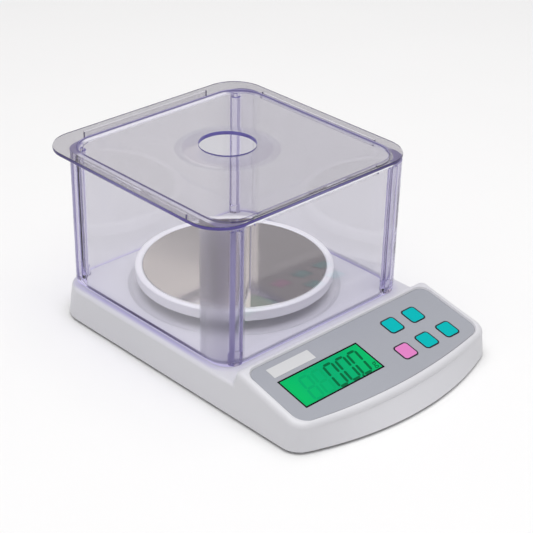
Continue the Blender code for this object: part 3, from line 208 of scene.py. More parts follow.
# %% World and lamps
world = bpy.data.worlds.new("studio_world")
bpy.context.scene.world = world
world.use_nodes = True
tree = world.node_tree
around = split(tree, tree.nodes.new("ShaderNodeTexCoord").outputs["Generated"])
up = around["Z"]
turn = sum_node(tree, "ARCTAN2", around["X"], around["Y"])
by_height = tree.nodes.new("ShaderNodeValToRGB")
tree.links.new(up, by_height.inputs[0])
ramp = by_height.color_ramp
ramp.elements[0].color = (0.80, 0.80, 0.82, 1.0)
ramp.elements[1].color = (1.0, 1.0, 1.0, 1.0)
for position, colour in ((0.12, (0.66, 0.66, 0.67)), (0.38, (0.62, 0.60, 0.60)),
                         (0.60, (0.66, 0.64, 0.64)), (0.82, (0.95, 0.95, 0.95))):
    ramp.elements.new(position).color = (*colour, 1.0)

WINDOW_TURN = math.radians(42.1)    # where the bright window ends, turning from the back to the right
WINDOW_SILL = 0.2525                # its lower edge rises with the turn
WINDOW_SLOPE = 0.315
WORLD_STRENGTH = 0.80
sill = sum_node(tree, "ADD", product(tree, turn, WINDOW_SLOPE), WINDOW_SILL)
above_sill = fade_in(tree, sum_node(tree, "SUBTRACT", up, sill), -0.004, 0.003)
left_part = fade_out(tree, turn, WINDOW_TURN - 0.012, WINDOW_TURN + 0.008)
left_wall = mixed(tree, above_sill, (0.66, 0.62, 0.58), (1.15, 1.06, 0.95))
room = mixed(tree, left_part, (0.434, 0.400, 0.384), left_wall)
low_edge = fade_in(tree, up, 0.36, 0.42)
high_edge = fade_out(tree, up, 0.54, 0.62)
near_turn = fade_out(tree, distance_from(tree, turn, WINDOW_TURN), 0.25, 0.5)
band = product(tree, low_edge, high_edge, near_turn)
background = tree.nodes["Background"]
tree.links.new(mixed(tree, band, by_height.outputs["Color"], room), background.inputs["Color"])
background.inputs["Strength"].default_value = WORLD_STRENGTH


def soft_lamp(name, place, aim, size, watts):
    lamp = bpy.data.lights.new(name, "AREA")
    lamp.shape = "SQUARE"
    lamp.size = size
    lamp.energy = watts
    made = bpy.data.objects.new(name, lamp)
    bpy.context.scene.collection.objects.link(made)
    made.location = place
    made.rotation_euler = (Vector(aim) - Vector(place)).to_track_quat("-Z", "Y").to_euler()


soft_lamp("overhead_softbox", (-0.05, -0.15, 1.6), (0.0, 0.0, 0.0), 1.6, 19.0)
soft_lamp("left_softbox", (-1.5, -0.3, 0.9), (0.0, 0.0, 0.05), 1.2, 0.9)
print("lamps: 2")

# %% [markdown]
# ## Tools for shapes
# Most moulded pieces are a stack of outlines with a skin drawn over them, or a profile turned on an
# axis. Two short functions make both. `carve` and `weld` subtract and add solids, which is how the
# openings are cut. `settle` shades curves smoothly but keeps flat faces flat: it lets large faces
# decide the normals, and keeps real corners sharp.

# %% Outlines


def arc(x, y, radius, start, end, steps):
    angles = [start + (end - start) * i / steps for i in range(steps + 1)]
    return [(x + radius * math.cos(a), y + radius * math.sin(a)) for a in angles]


def rounded_rectangle(x, y, half_x, half_y, radius, steps=16):
    points = []
    for i, (sx, sy) in enumerate(((1, 1), (-1, 1), (-1, -1), (1, -1))):
        start = i * QUARTER
        points += arc(x + sx * (half_x - radius), y + sy * (half_y - radius), radius, start,
                      (i + 1) * QUARTER, steps)
    return points


def bowed_outline(half, back, front, bow, back_corner, front_corner, steps=16, bow_steps=48):
    """A rectangle whose front side is part of a wide circle of radius bow."""
    points = arc(half - back_corner, back - back_corner, back_corner, 0.0, QUARTER, steps)
    points += arc(back_corner - half, back - back_corner, back_corner, QUARTER, 2 * QUARTER, steps)
    reach = bow - front_corner
    corner_x = half - front_corner
    corner_y = front + bow - math.sqrt(reach ** 2 - corner_x ** 2)
    bend = math.asin(corner_x / reach)
    points += arc(-corner_x, corner_y, front_corner, -2 * QUARTER, -QUARTER - bend, steps)
    points += arc(0.0, front + bow, bow, -QUARTER - bend, -QUARTER + bend, bow_steps)[1:-1]
    points += arc(corner_x, corner_y, front_corner, -QUARTER + bend, 0.0, steps)
    return points


def at_height(points, z):
    return [(x, y, z) for x, y in points]


def slab(x, y, half_x, half_y, radius, heights, steps=16):
    """Rings of one rounded rectangle; heights holds pairs of (growth, z)."""
    return [at_height(rounded_rectangle(x, y, half_x + grow_by, half_y + grow_by, radius, steps), z)
            for grow_by, z in heights]


def edge_round(radius, steps=8):
    """Pairs of (inset, drop) round an upper edge, from the wall to the flat top."""
    pairs = []
    for i in range(steps + 1):
        angle = i / steps * QUARTER
        pairs.append((radius * (1.0 - math.cos(angle)), radius * (1.0 - math.sin(angle))))
    return pairs


# %% Skins, turned pieces and booleans


def new_piece(name, bm):
    bmesh.ops.recalc_face_normals(bm, faces=bm.faces)
    bmesh.ops.scale(bm, verts=bm.verts, vec=(MM, MM, MM))
    mesh = bpy.data.meshes.new(name)
    bm.to_mesh(mesh)
    bm.free()
    made = bpy.data.objects.new(name, mesh)
    bpy.context.scene.collection.objects.link(made)
    return made


def skin(name, rings):
    bm = bmesh.new()
    loops = [[bm.verts.new(p) for p in ring] for ring in rings]
    count = len(loops[0])
    for low, high in zip(loops, loops[1:]):
        for i in range(count):
            j = (i + 1) % count
            bm.faces.new((low[i], low[j], high[j], high[i]))
    bm.faces.new(list(reversed(loops[0])))
    bm.faces.new(loops[-1])
    return new_piece(name, bm)


def turned(name, profile, x=0.0, y=0.0, steps=128):
    """Turn a closed profile of (radius, height) points about an upright axis."""
    bm = bmesh.new()
    verts = [bm.verts.new((r, 0.0, z)) for r, z in profile]
    edges = []
    for i, vert in enumerate(verts):
        other = verts[(i + 1) % len(verts)]
        if vert.co.x > 0.0 or other.co.x > 0.0:
            edges.append(bm.edges.new((vert, other)))
    bmesh.ops.spin(bm, geom=verts + edges, cent=(0, 0, 0), axis=(0, 0, 1), angle=2 * math.pi,
                   steps=steps, use_merge=True)
    bmesh.ops.remove_doubles(bm, verts=bm.verts, dist=0.0005)
    bmesh.ops.translate(bm, verts=bm.verts, vec=(x, y, 0.0))
    return new_piece(name, bm)


def apply_all(piece):
    bpy.context.view_layer.update()
    graph = bpy.context.evaluated_depsgraph_get()
    plain = bpy.data.meshes.new_from_object(piece.evaluated_get(graph))
    piece.modifiers.clear()
    piece.data = plain


def combine(piece, tool, operation):
    step = piece.modifiers.new(operation.lower(), "BOOLEAN")
    step.operation = operation
    step.solver = "EXACT"
    step.object = tool
    apply_all(piece)
    bpy.data.objects.remove(tool, do_unlink=True)


def carve(piece, tool):
    combine(piece, tool, "DIFFERENCE")


def weld(piece, tool):
    combine(piece, tool, "UNION")


def settle(piece, angle=32.0):
    piece.data.shade_smooth()
    piece.data.set_sharp_from_angle(angle=math.radians(angle))
    step = piece.modifiers.new("even_shading", "WEIGHTED_NORMAL")
    step.keep_sharp = True
    apply_all(piece)


def leaned(outline, w):
    return [on_panel(x, v, w) for x, v in outline]


def panel_plate(name, outline, low, high):
    """A flat plate on the leaning panel, between two heights above it."""
    return skin(name, [leaned(outline, low), leaned(outline, high)])


def wear(piece, finish):
    piece.data.materials.clear()
    piece.data.materials.append(finish)


# %% [markdown]
# ## Lines that follow an outline
# The window and each key have a thin black printed line round them, and painted light and shade lie
# in lines round the clear shield. Such a line follows an outline, so a shared group works out how far
# a point lies inside a rounded rectangle, and a finish turns that distance into a line. Printed pieces
# carry their own drawing coordinates, in millimetres from their middle, as an attribute.

# %% Shared group: distance to a rounded rectangle
border_group, border_in, border_out = new_group("rounded_border", [
    ("Place", "NodeSocketVector", (0.0, 0.0, 0.0)),
    ("Half Width", "NodeSocketFloat", 5.0),
    ("Half Height", "NodeSocketFloat", 5.0),
    ("Corner", "NodeSocketFloat", 1.0),
], [("Distance", "NodeSocketFloat")])
spot = split(border_group, border_in.outputs["Place"])
corner = border_in.outputs["Corner"]
reach = []
for axis, title in (("X", "Half Width"), ("Y", "Half Height")):
    size = sum_node(border_group, "SUBTRACT", border_in.outputs[title], corner)
    reach.append(sum_node(border_group, "SUBTRACT", sum_node(border_group, "ABSOLUTE", spot[axis]), size))
outside = [sum_node(border_group, "MAXIMUM", r, 0.0) for r in reach]
squares = [product(border_group, r, r) for r in outside]
length = sum_node(border_group, "SQRT", sum_node(border_group, "ADD", squares[0], squares[1]))
inner = sum_node(border_group, "MINIMUM", sum_node(border_group, "MAXIMUM", reach[0], reach[1]), 0.0)
whole = sum_node(border_group, "SUBTRACT", sum_node(border_group, "ADD", length, inner), corner)
border_group.links.new(whole, border_out.inputs["Distance"])


def mark_place(piece, x, v):
    """Store each corner's drawing place on the panel, in millimetres from x, v."""
    layer = piece.data.attributes.new("print_place", "FLOAT_VECTOR", "POINT")
    cos_s = math.cos(PANEL_SLOPE)
    sin_s = math.sin(PANEL_SLOPE)
    for i, vert in enumerate(piece.data.vertices):
        dy = vert.co.y / MM - PANEL_Y
        dz = vert.co.z / MM - PANEL_Z
        layer.data[i].vector = (vert.co.x / MM - x, dy * cos_s + dz * sin_s - v, 0.0)


def border_node(tree, place, half_x, half_y, corner):
    """Place the shared group on a 2-D place and give its distance."""
    group = tree.nodes.new("ShaderNodeGroup")
    group.node_tree = border_group
    sizes = (("Place", place), ("Half Width", half_x), ("Half Height", half_y), ("Corner", corner))
    for title, value in sizes:
        wired(tree, value, group.inputs[title])
    return group.outputs["Distance"]


def vector_node(tree, operation, first, *settings):
    node = tree.nodes.new("ShaderNodeVectorMath")
    node.operation = operation
    tree.links.new(first, node.inputs[0])
    for i, value in enumerate(settings):
        node.inputs[i + 1].default_value = value
    return node.outputs


def flat_place(tree, x, y):
    """Place in plan, in millimetres from x, y."""
    to_mm = 1.0 / MM
    return vector_node(tree, "MULTIPLY_ADD", object_place(tree), (to_mm, to_mm, 0.0), (-x, -y, 0.0))[0]


def outline_gap(tree, x, y, half_x, half_y, corner):
    """Millimetres outside a rounded rectangle in plan, negative inside it."""
    return border_node(tree, flat_place(tree, x, y), half_x, half_y, corner)


def far_from(tree, x, y):
    """Millimetres from a point in plan."""
    return vector_node(tree, "LENGTH", flat_place(tree, x, y))["Value"]


def object_height(tree):
    """Height above the floor, in millimetres."""
    return product(tree, split(tree, object_place(tree))["Z"], 1.0 / MM)


def border_distance(tree, half_x, half_v, corner, x=0.0, v=0.0):
    """The same distance on a printed piece, and its drawing place."""
    spot = tree.nodes.new("ShaderNodeAttribute")
    spot.attribute_name = "print_place"
    place = vector_node(tree, "SUBTRACT", spot.outputs["Vector"], (x, v, 0.0))[0]
    return border_node(tree, place, half_x, half_v, corner), spot.outputs["Vector"]


print("groups:", [g.name for g in bpy.data.node_groups])

# %% [markdown]
# ## Finishes
# Moulded plastic is never one flat colour. Its skin has a very fine grain from the mould, its tone
# drifts a little over a hand's breadth, and its gloss varies where it has been handled. Those three
# effects serve almost every piece here, so they are one shared node group with its own inputs.

# %% Shared group: moulded skin
skin_group, skin_in, skin_out = new_group("moulded_skin", [
    ("Color", "NodeSocketColor", (0.8, 0.8, 0.8, 1.0)),
    ("Shade", "NodeSocketColor", (0.7, 0.7, 0.7, 1.0)),
    ("Roughness", "NodeSocketFloat", 0.4),
    ("Handling", "NodeSocketFloat", 0.06),
    ("Grain Scale", "NodeSocketFloat", 2600.0),
], [("Color", "NodeSocketColor"), ("Roughness", "NodeSocketFloat"), ("Height", "NodeSocketFloat")])
where = object_place(skin_group)
drift = fade_in(skin_group, noise(skin_group, where, 9.0), 0.35, 0.65)
smudge = sum_node(skin_group, "SUBTRACT", noise(skin_group, where, 45.0, 4.0), 0.5)
handled = product(skin_group, skin_in.outputs["Handling"], smudge)
for title, value in (
        ("Color", mixed(skin_group, drift, skin_in.outputs["Color"], skin_in.outputs["Shade"])),
        ("Roughness", sum_node(skin_group, "ADD", skin_in.outputs["Roughness"], handled)),
        ("Height", noise(skin_group, where, skin_in.outputs["Grain Scale"], 2.0))):
    skin_group.links.new(value, skin_out.inputs[title])


def plain_finish(name):
    made = bpy.data.materials.new(name)
    made.use_nodes = True
    return made, made.node_tree, made.node_tree.nodes["Principled BSDF"]


def bump(tree, shader, height, strength, distance=0.0001):
    node = tree.nodes.new("ShaderNodeBump")
    node.inputs["Strength"].default_value = strength
    node.inputs["Distance"].default_value = distance
    tree.links.new(height, node.inputs["Height"])
    tree.links.new(node.outputs["Normal"], shader.inputs["Normal"])


def moulded_node(tree, colour, shade, roughness):
    group = tree.nodes.new("ShaderNodeGroup")
    group.node_tree = skin_group
    for title, value in (("Color", colour), ("Shade", shade), ("Roughness", roughness)):
        wired(tree, value, group.inputs[title])
    return group


def moulded(name, colour, shade, roughness, handling=0.08, grain=0.06, grain_scale=2600.0, metallic=0.0,
            specular=0.5):
    """A finish from the shared group, with its own colour, gloss and grain."""
    made, tree, shader = plain_finish(name)
    group = moulded_node(tree, colour, shade, roughness)
    group.inputs["Handling"].default_value = handling
    group.inputs["Grain Scale"].default_value = grain_scale
    tree.links.new(group.outputs["Color"], shader.inputs["Base Color"])
    tree.links.new(group.outputs["Roughness"], shader.inputs["Roughness"])
    shader.inputs["Metallic"].default_value = metallic
    shader.inputs["Specular IOR Level"].default_value = specular
    bump(tree, shader, group.outputs["Height"], grain)
    return made


def over(finish, colour, *amounts):
    """Lay one more colour over a finish; the amounts, made in its own tree, are multiplied."""
    tree = finish.node_tree
    base = tree.nodes["Principled BSDF"].inputs["Base Color"]
    tree.links.new(mixed(tree, product(tree, *amounts), base.links[0].from_socket, colour), base)


# %% Finishes of the case, the tray and the feet
case_finish = moulded("case_plastic", (0.63, 0.63, 0.66), (0.612, 0.612, 0.643), 0.36)
tree = case_finish.node_tree
gap = outline_gap(tree, 0.0, PAN_Y, SHIELD_HALF, SHIELD_HALF, SHIELD_CORNER)
top_only = fade_in(tree, object_height(tree), 20.6, 21.6)
left_only = spread(tree, far_from(tree, -250.0, PAN_Y), 176.0, 190.0, 1.0, 0.2)
# Painted light: the dish gets lighter towards the tray, to offset the shade under the tray.
painted_light_round_tray = fade_out(tree, far_from(tree, 0.0, PAN_Y), 61.0, 68.5)
# Painted violet light and shadow of the clear shield, on the ledge just outside its foot, on the left.
painted_violet_light_and_shadow = (fade_in(tree, gap, -0.3, 0.3), fade_out(tree, gap, 1.5, 4.6))
# Painted shade: a thin dark line along the plateau's edge just inside the shield, on the left.
painted_edge_shade = (fade_in(tree, gap, -3.3, -3.1), fade_out(tree, gap, -2.8, -2.6))
over(case_finish, (0.80, 0.80, 0.83), painted_light_round_tray, top_only)
over(case_finish, (0.41, 0.39, 0.58), *painted_violet_light_and_shadow, left_only, top_only)
over(case_finish, (0.10, 0.08, 0.13), *painted_edge_shade, left_only, top_only)
lower_finish = moulded("lower_case_plastic", (0.60, 0.60, 0.62), (0.58, 0.58, 0.60), 0.55, grain=0.12)
tray_finish = moulded("tray_plastic", (0.80, 0.80, 0.815), (0.78, 0.78, 0.80), 0.30)
rubber_finish = moulded("foot_rubber", (0.035, 0.035, 0.037), (0.05, 0.05, 0.052), 0.8, grain=0.3)
dark_finish = moulded("dark_plastic", (0.025, 0.025, 0.027), (0.035, 0.035, 0.036), 0.45)
floor_finish = moulded("studio_paper", (0.82, 0.82, 0.82), (0.815, 0.815, 0.815), 0.9, grain=0.0)
wear(studio_floor, floor_finish)
print("finishes so far:", len(bpy.data.materials))

# %% [markdown]
# ## Upper case
# The case is one moulding: a low platform for the pan and a console that leans towards the user.
# Injection moulds need draft, so every side leans in slightly and the edges are rounded. The
# console is a skin over outlines that shrink while they climb round its crest, and the overlay's
# seat is cut into it with a soft slope, which leaves the raised rim.

# %% Upper case
CASE_HALF = 86.0
CASE_BACK = 116.2
CASE_FOOT = 1.6
FOOT_EDGE = 0.5
SIDE_DRAFT = 0.12
BACK_DRAFT = 0.05
PLATFORM_TOP = 22.0
WALL = 2.2
RIM_HIGH = 1.0
RIM_ROUND = 3.85


def side_half(z):
    return CASE_HALF - SIDE_DRAFT * (z - CASE_FOOT - FOOT_EDGE)


def back_edge(z):
    return CASE_BACK - BACK_DRAFT * (z - CASE_FOOT - FOOT_EDGE)


def overlay_outline(grow=0.0):
    outline = bowed_outline(77.5 + grow, -1.2 + grow, -57.6 - grow, 400.0, 7.0 + grow, 9.0 + grow)
    return [(x * (1.0 + 1.1 / 77.5 * (-1.2 - v) / 56.4), v) for x, v in outline]


def crest_ring(shrink, drop, inset, top):
    crest = (top - RIM_ROUND) * math.cos(PANEL_SLOPE) + PANEL_Z
    nominal = side_half(crest) - inset - shrink
    outline = bowed_outline(nominal, 3.5 - inset - shrink, -63.2 + inset + shrink, 340.0, 4.0 - 0.5 * shrink,
                            11.0 - 0.5 * shrink)
    ring = []
    for x, v in outline:
        half_here = side_half(crest + v * math.sin(PANEL_SLOPE)) - inset - shrink
        ring.append(on_panel(x * half_here / nominal, v, top - drop))
    return ring


def console_rings(inset, top):
    half = CASE_HALF - inset
    rings = []
    foot = ((0.0, -2.0),) if inset else ((FOOT_EDGE, CASE_FOOT), (0.0, CASE_FOOT + FOOT_EDGE))
    for shrink, z in foot:
        outline = bowed_outline(half - shrink, -46.6 - inset, -126.8 + inset + shrink, 205.0, 4.0, 13.0)
        rings.append(at_height(outline, z))
    for shrink, drop in edge_round(RIM_ROUND):
        rings.append(crest_ring(shrink, drop, inset, top))
    return rings


def platform_ring(z, shrink, inset=0.0):
    half = side_half(z) - 0.02 - inset - shrink
    back = back_edge(z) - inset - shrink
    front = -80.0 + inset
    corner = 22.0 - inset - shrink
    return at_height(rounded_rectangle(0.0, (back + front) / 2, half, (back - front) / 2, corner), z)


rings = [platform_ring(CASE_FOOT, FOOT_EDGE), platform_ring(CASE_FOOT + FOOT_EDGE, 0.0)]
rings += [platform_ring(PLATFORM_TOP - drop, shrink) for shrink, drop in edge_round(2.0)]
upper_case = skin("upper_case_shell", rings)
weld(upper_case, skin("console", console_rings(0.0, RIM_HIGH)))

# %% Plateau, dish and the hollow inside
plateau_half = 74.1
plateau_back = PAN_Y + plateau_half
plateau_front = -37.2
plateau_corner = 18.0
plateau_top = 24.0
middle = (plateau_back + plateau_front) / 2
depth = (plateau_back - plateau_front) / 2
rings = slab(0.0, middle, plateau_half, depth, plateau_corner, ((0.0, 20.0),))
for shrink, drop in edge_round(0.7, 4):
    outline = rounded_rectangle(0.0, middle, plateau_half - shrink, depth - shrink, plateau_corner - shrink)
    rings.append(at_height(outline, plateau_top - drop))
plateau = skin("plateau", rings)
for sx in (-1, 1):
    for sy in (-1, 1):
        notch = [(0.0, 22.0), (4.5, 22.0), (4.5, 30.0), (0.0, 30.0)]
        carve(plateau, turned("notch", notch, sx * POST_X, PAN_Y + sy * POST_Y, 48))
weld(upper_case, plateau)
carve(upper_case, skin("inner_platform", [platform_ring(-2.0, 0.0, WALL), platform_ring(19.8, 0.0, WALL)]))
carve(upper_case, skin("inner_console", console_rings(WALL, -2.9)))
dish = [(0.0, 22.9), (65.6, 22.9), (66.4, 23.0), (68.2, 23.75), (69.2, 24.0), (69.2, 28.0), (0.0, 28.0)]
carve(upper_case, turned("dish", dish, 0.0, PAN_Y, 160))
roof_hole = [(0.0, 10.0), (12.5, 10.0), (12.5, 30.0), (0.0, 30.0)]
carve(upper_case, turned("roof_hole", roof_hole, 0.0, PAN_Y, 64))

# %% Openings of the console
SEAT_GAP = 0.3
SEAT_STEPS = ((0.0, -0.7), (0.0, 0.05), (0.2, 0.18), (0.45, 0.6), (0.7, 1.0), (1.0, 5.0))
seat = [leaned(overlay_outline(SEAT_GAP + out), w) for out, w in SEAT_STEPS]
carve(upper_case, skin("overlay_seat", seat))
WINDOW = (-33.7, -29.7, 33.3, 12.75)
KEYS = {
    "key_back_left": (31.8, -17.9),
    "key_back_right": (51.1, -17.9),
    "key_front_left": (21.6, -39.4),
    "key_front_middle": (40.9, -39.4),
    "key_front_right": (60.2, -39.4),
}
KEY_HALF_X = 5.65
KEY_HALF_V = 6.05
KEY_CORNER = 2.3


def open_panel(sheet, window_gap, key_half_x, key_half_v, key_corner):
    """Cut the window and the five key openings through a sheet on the panel."""
    x, v, half_x, half_v = WINDOW
    hole = rounded_rectangle(x, v, half_x + window_gap, half_v + window_gap, 0.3, 2)
    carve(sheet, panel_plate("window_hole", hole, -4.0, 4.0))
    for x, v in KEYS.values():
        hole = rounded_rectangle(x, v, key_half_x, key_half_v, key_corner, 8)
        carve(sheet, panel_plate("key_hole", hole, -4.0, 4.0))


CASE_HOLE = (5.95, 6.35, 2.6)           # half width, half height and corner of a key's opening
open_panel(upper_case, 0.3, *CASE_HOLE)
socket_hole = turned("socket_hole", [(0.0, -4.4), (4.2, -4.4), (4.2, 4.4), (0.0, 4.4)], steps=48)
socket_place = Matrix.Translation((-40.0 * MM, 115.0 * MM, 10.2 * MM))
socket_hole.data.transform(socket_place @ Matrix.Rotation(QUARTER, 4, "X"))
carve(upper_case, socket_hole)
settle(upper_case)
wear(upper_case, case_finish)
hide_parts("upper_case")
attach(upper_case, "base")
print("upper case faces:", len(upper_case.data.polygons))

# %% [markdown]
# ## Overlay and label
# The console's face is a printed plastic sheet in blue-grey, glued into its seat. Its print is an
# even colour with a faint grain and a thin black ring round each key, and it is duller than the
# case. The label place stays blank: a small white sticker with nothing on it.

# %% Overlay and blank label
INK = (0.012, 0.012, 0.014)
OVERLAY_HOLE = (5.75, 6.15, 2.4)        # the same, in the overlay
overlay_finish = moulded("overlay_print", (0.322, 0.334, 0.372), (0.31, 0.321, 0.358), 0.42, grain=0.10,
                         grain_scale=3400.0)
overlay = panel_plate("overlay_sheet", overlay_outline(), -0.4, 0.0)
open_panel(overlay, 0.05, *OVERLAY_HOLE)
settle(overlay)
mark_place(overlay, 0.0, 0.0)
tree = overlay_finish.node_tree
for x, v in KEYS.values():
    over(overlay_finish, INK, fade_out(tree, border_distance(tree, *OVERLAY_HOLE, x, v)[0], 0.42, 0.56))
wear(overlay, overlay_finish)
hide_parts("console_overlay")
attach(overlay, "base")

label_finish = moulded("label_paper", (0.58, 0.585, 0.59), (0.565, 0.57, 0.575), 0.35, grain=0.05)
label = panel_plate("blank_label", rounded_rectangle(-48.7, -9.8, 17.1, 4.05, 0.3, 3), 0.02, 0.16)
settle(label)
wear(label, label_finish)
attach(label, "base")
print("overlay faces:", len(overlay.data.polygons))

# %% [markdown]
# ## Display
# A liquid crystal display is a dark shape on a lit green plate. The light comes from its ends, so the
# middle is a little dimmer. The seven bars of each figure are drawn as pointed strips and leaned
# over, as on most such displays. The bars that are switched off still show faintly.

# %% Display window
BORDER = 1.15
LIT_MIDDLE = 3.0        # where the lit plate is dimmest, to the right of the window's middle
LCD_SPECULAR = 0.04     # the display and the keys hardly mirror the lamps
window_finish, tree, shader = plain_finish("display_green")
distance, spot = border_distance(tree, WINDOW[2], WINDOW[3], 0.3)
line = fade_in(tree, distance, -BORDER - 0.06, -BORDER + 0.06)
from_middle = distance_from(tree, split(tree, spot)["X"], LIT_MIDDLE)
lit = fade_in(tree, from_middle, 8.0, 33.0)
green = mixed(tree, lit, (0.001, 0.30, 0.115), (0.001, 0.36, 0.095))
face = mixed(tree, line, green, (0.006, 0.006, 0.008))
tree.links.new(face, shader.inputs["Base Color"])
tree.links.new(face, shader.inputs["Emission Color"])
shader.inputs["Emission Strength"].default_value = 0.25
shader.inputs["Roughness"].default_value = 0.22
shader.inputs["Specular IOR Level"].default_value = LCD_SPECULAR
window = panel_plate("display_face", rounded_rectangle(*WINDOW, 0.3, 4), -1.2, 0.0)
mark_place(window, WINDOW[0], WINDOW[1])
settle(window)
wear(window, window_finish)
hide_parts("display_window")
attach(window, "base")

# %% Figures on the display
DIGIT_HIGH = 18.6
DIGIT_WIDE = 6.9
DIGIT_BAR = 1.9
BAR_GAP = 0.28
LEAN = 0.163
DIGIT_V = -31.1
BARS = {"top": (0, 1, 0), "middle": (0, 0, 0), "bottom": (0, -1, 0), "upper_left": (-1, 0.5, 1),
        "upper_right": (1, 0.5, 1), "lower_left": (-1, -0.5, 1), "lower_right": (1, -0.5, 1)}
ZERO = [name for name in BARS if name != "middle"]


def bar_outline(x, bar):
    """A pointed strip for one bar of the figure whose middle is at x."""
    across, up, upright = BARS[bar]
    thick = DIGIT_BAR / 2
    reach = (DIGIT_HIGH / 4 if upright else DIGIT_WIDE / 2) - BAR_GAP
    long = [(-reach, 0), (thick - reach, -thick), (reach - thick, -thick), (reach, 0),
            (reach - thick, thick), (thick - reach, thick)]
    shape = [(-b, a) for a, b in long] if upright else long
    points = []
    for a, b in shape:
        b += up * DIGIT_HIGH / 2
        a += across * DIGIT_WIDE / 2
        points.append((x + a + b * LEAN, DIGIT_V + b))
    return points


def figures(name, places, low, high):
    bm = bmesh.new()
    for x, bars in places:
        for bar in bars:
            outline = bar_outline(x, bar)
            rings = [[bm.verts.new(p) for p in leaned(outline, w)] for w in (low, high)]
            for i in range(len(outline)):
                j = (i + 1) % len(outline)
                bm.faces.new((rings[0][i], rings[0][j], rings[1][j], rings[1][i]))
            bm.faces.new(list(reversed(rings[0])))
            bm.faces.new(rings[1])
    return new_piece(name, bm)


segment_finish = moulded("figure_dark_green", (0.001, 0.127, 0.045), (0.001, 0.115, 0.04), 0.22,
                         grain=0.0, specular=LCD_SPECULAR)
ghost_finish = moulded("figure_faint_green", (0.001, 0.35, 0.125), (0.001, 0.34, 0.12), 0.22,
                       grain=0.0, specular=LCD_SPECULAR)
lit_figures = figures("lit_figures", [(-31.8, ZERO), (-21.5, ZERO), (-11.4, ZERO)], 0.005, 0.03)
faint_figures = figures("faint_figures", [(-52.2, BARS), (-42.0, BARS)], 0.005, 0.02)
dot = panel_plate("point", rounded_rectangle(-17.5, -40.6, 0.75, 0.75, 0.3, 3), 0.005, 0.03)

# %% The sign for grams
UNIT_X = -6.1
UNIT_V = -38.9
unit = bpy.data.curves.new("gram_sign", "FONT")
unit.body = "g"
unit.size = 7.6
unit.extrude = 0.012
unit_sign = bpy.data.objects.new("gram_sign", unit)
bpy.context.scene.collection.objects.link(unit_sign)
bpy.context.view_layer.update()
unit_mesh = bpy.data.meshes.new_from_object(unit_sign.evaluated_get(bpy.context.evaluated_depsgraph_get()))
bpy.data.objects.remove(unit_sign, do_unlink=True)
for vert in unit_mesh.vertices:
    x, v, w = vert.co
    vert.co = Vector(on_panel(UNIT_X + x + v * LEAN, UNIT_V + v, 0.018 + w)) * MM
gram = bpy.data.objects.new("gram_sign", unit_mesh)
bpy.context.scene.collection.objects.link(gram)
for piece, finish in ((lit_figures, segment_finish), (faint_figures, ghost_finish), (dot, segment_finish),
                      (gram, segment_finish)):
    wear(piece, finish)
    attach(piece, "base")
print("figures:", len(lit_figures.data.polygons), "faces")

# %% [markdown]
# ## Keys
# Five flat keys stand almost level with the overlay, four teal and one pink, each with a rounded
# black line at its edge. Their crowns are slightly domed. The key's stem and flange are under the
# panel, where the switch is.

# %% Keys


def key_finish(name, colour, shade):
    made, tree, shader = plain_finish(name)
    distance, _ = border_distance(tree, KEY_HALF_X, KEY_HALF_V, KEY_CORNER)
    line = fade_in(tree, distance, -0.55, -0.41)
    group = moulded_node(tree, colour, shade, 0.36)
    shader.inputs["Specular IOR Level"].default_value = LCD_SPECULAR
    face = mixed(tree, line, group.outputs["Color"], (0.014, 0.016, 0.03))
    tree.links.new(face, shader.inputs["Base Color"])
    tree.links.new(group.outputs["Roughness"], shader.inputs["Roughness"])
    bump(tree, shader, group.outputs["Height"], 0.08)
    return made


teal_finish = key_finish("key_teal_print", (0.001, 0.385, 0.385), (0.001, 0.415, 0.42))
pink_finish = key_finish("key_pink_print", (0.66, 0.205, 0.49), (0.64, 0.20, 0.475))
FLANGE_TO_CROWN = ((-1.0, -4.0), (-1.0, -3.2), (0.0, -3.2), (0.0, 0.0), (0.08, 0.10), (0.3, 0.16), (2.2, 0.2))
for node, (x, v) in KEYS.items():
    rings = []
    for shrink, w in FLANGE_TO_CROWN:
        corner = max(KEY_CORNER - shrink, 0.4)
        outline = rounded_rectangle(x, v, KEY_HALF_X - shrink, KEY_HALF_V - shrink, corner, 10)
        rings.append(leaned(outline, w))
    cap = skin(node + "_cap", rings)
    mark_place(cap, x, v)
    settle(cap)
    pink = node == "key_front_left"
    wear(cap, pink_finish if pink else teal_finish)
    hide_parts(node)
    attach(cap, node)
print("keys:", len(KEYS))

# %% [markdown]
# ## Pan tray and pan
# The tray is a turned shape: a shallow cup with a rounded rim that holds the steel pan. Under it
# run ribs from the hub to the skirt. The ribs repeat round an axis, which is a job for Geometry
# Nodes: one rib is placed on each point of a circle and turned to face outwards.

# %% A helper that grows a mesh from a node tree


def new_tree(name, inputs):
    tree = bpy.data.node_groups.new(name, "GeometryNodeTree")
    tree.interface.new_socket("Geometry", in_out="INPUT", socket_type="NodeSocketGeometry")
    for title, kind, value in inputs:
        socket = tree.interface.new_socket(title, in_out="INPUT", socket_type=kind)
        socket.default_value = value
    tree.interface.new_socket("Finish", in_out="INPUT", socket_type="NodeSocketMaterial")
    tree.interface.new_socket("Geometry", in_out="OUTPUT", socket_type="NodeSocketGeometry")
    return tree, tree.nodes.new("NodeGroupInput"), tree.nodes.new("NodeGroupOutput")


def add(tree, kind, wires, **settings):
    """Add a node with its settings, and wire or set the sockets named in wires."""
    node = tree.nodes.new(kind)
    for title, value in settings.items():
        setattr(node, title, value)
    for title, source in wires.items():
        if hasattr(source, "is_output"):
            tree.links.new(source, node.inputs[title])
        else:
            node.inputs[title].default_value = source
    return node


def axes(tree, **parts):
    """A vector from numbers or sockets; an axis that isn't named stays 0."""
    return add(tree, "ShaderNodeCombineXYZ", parts).outputs[0]


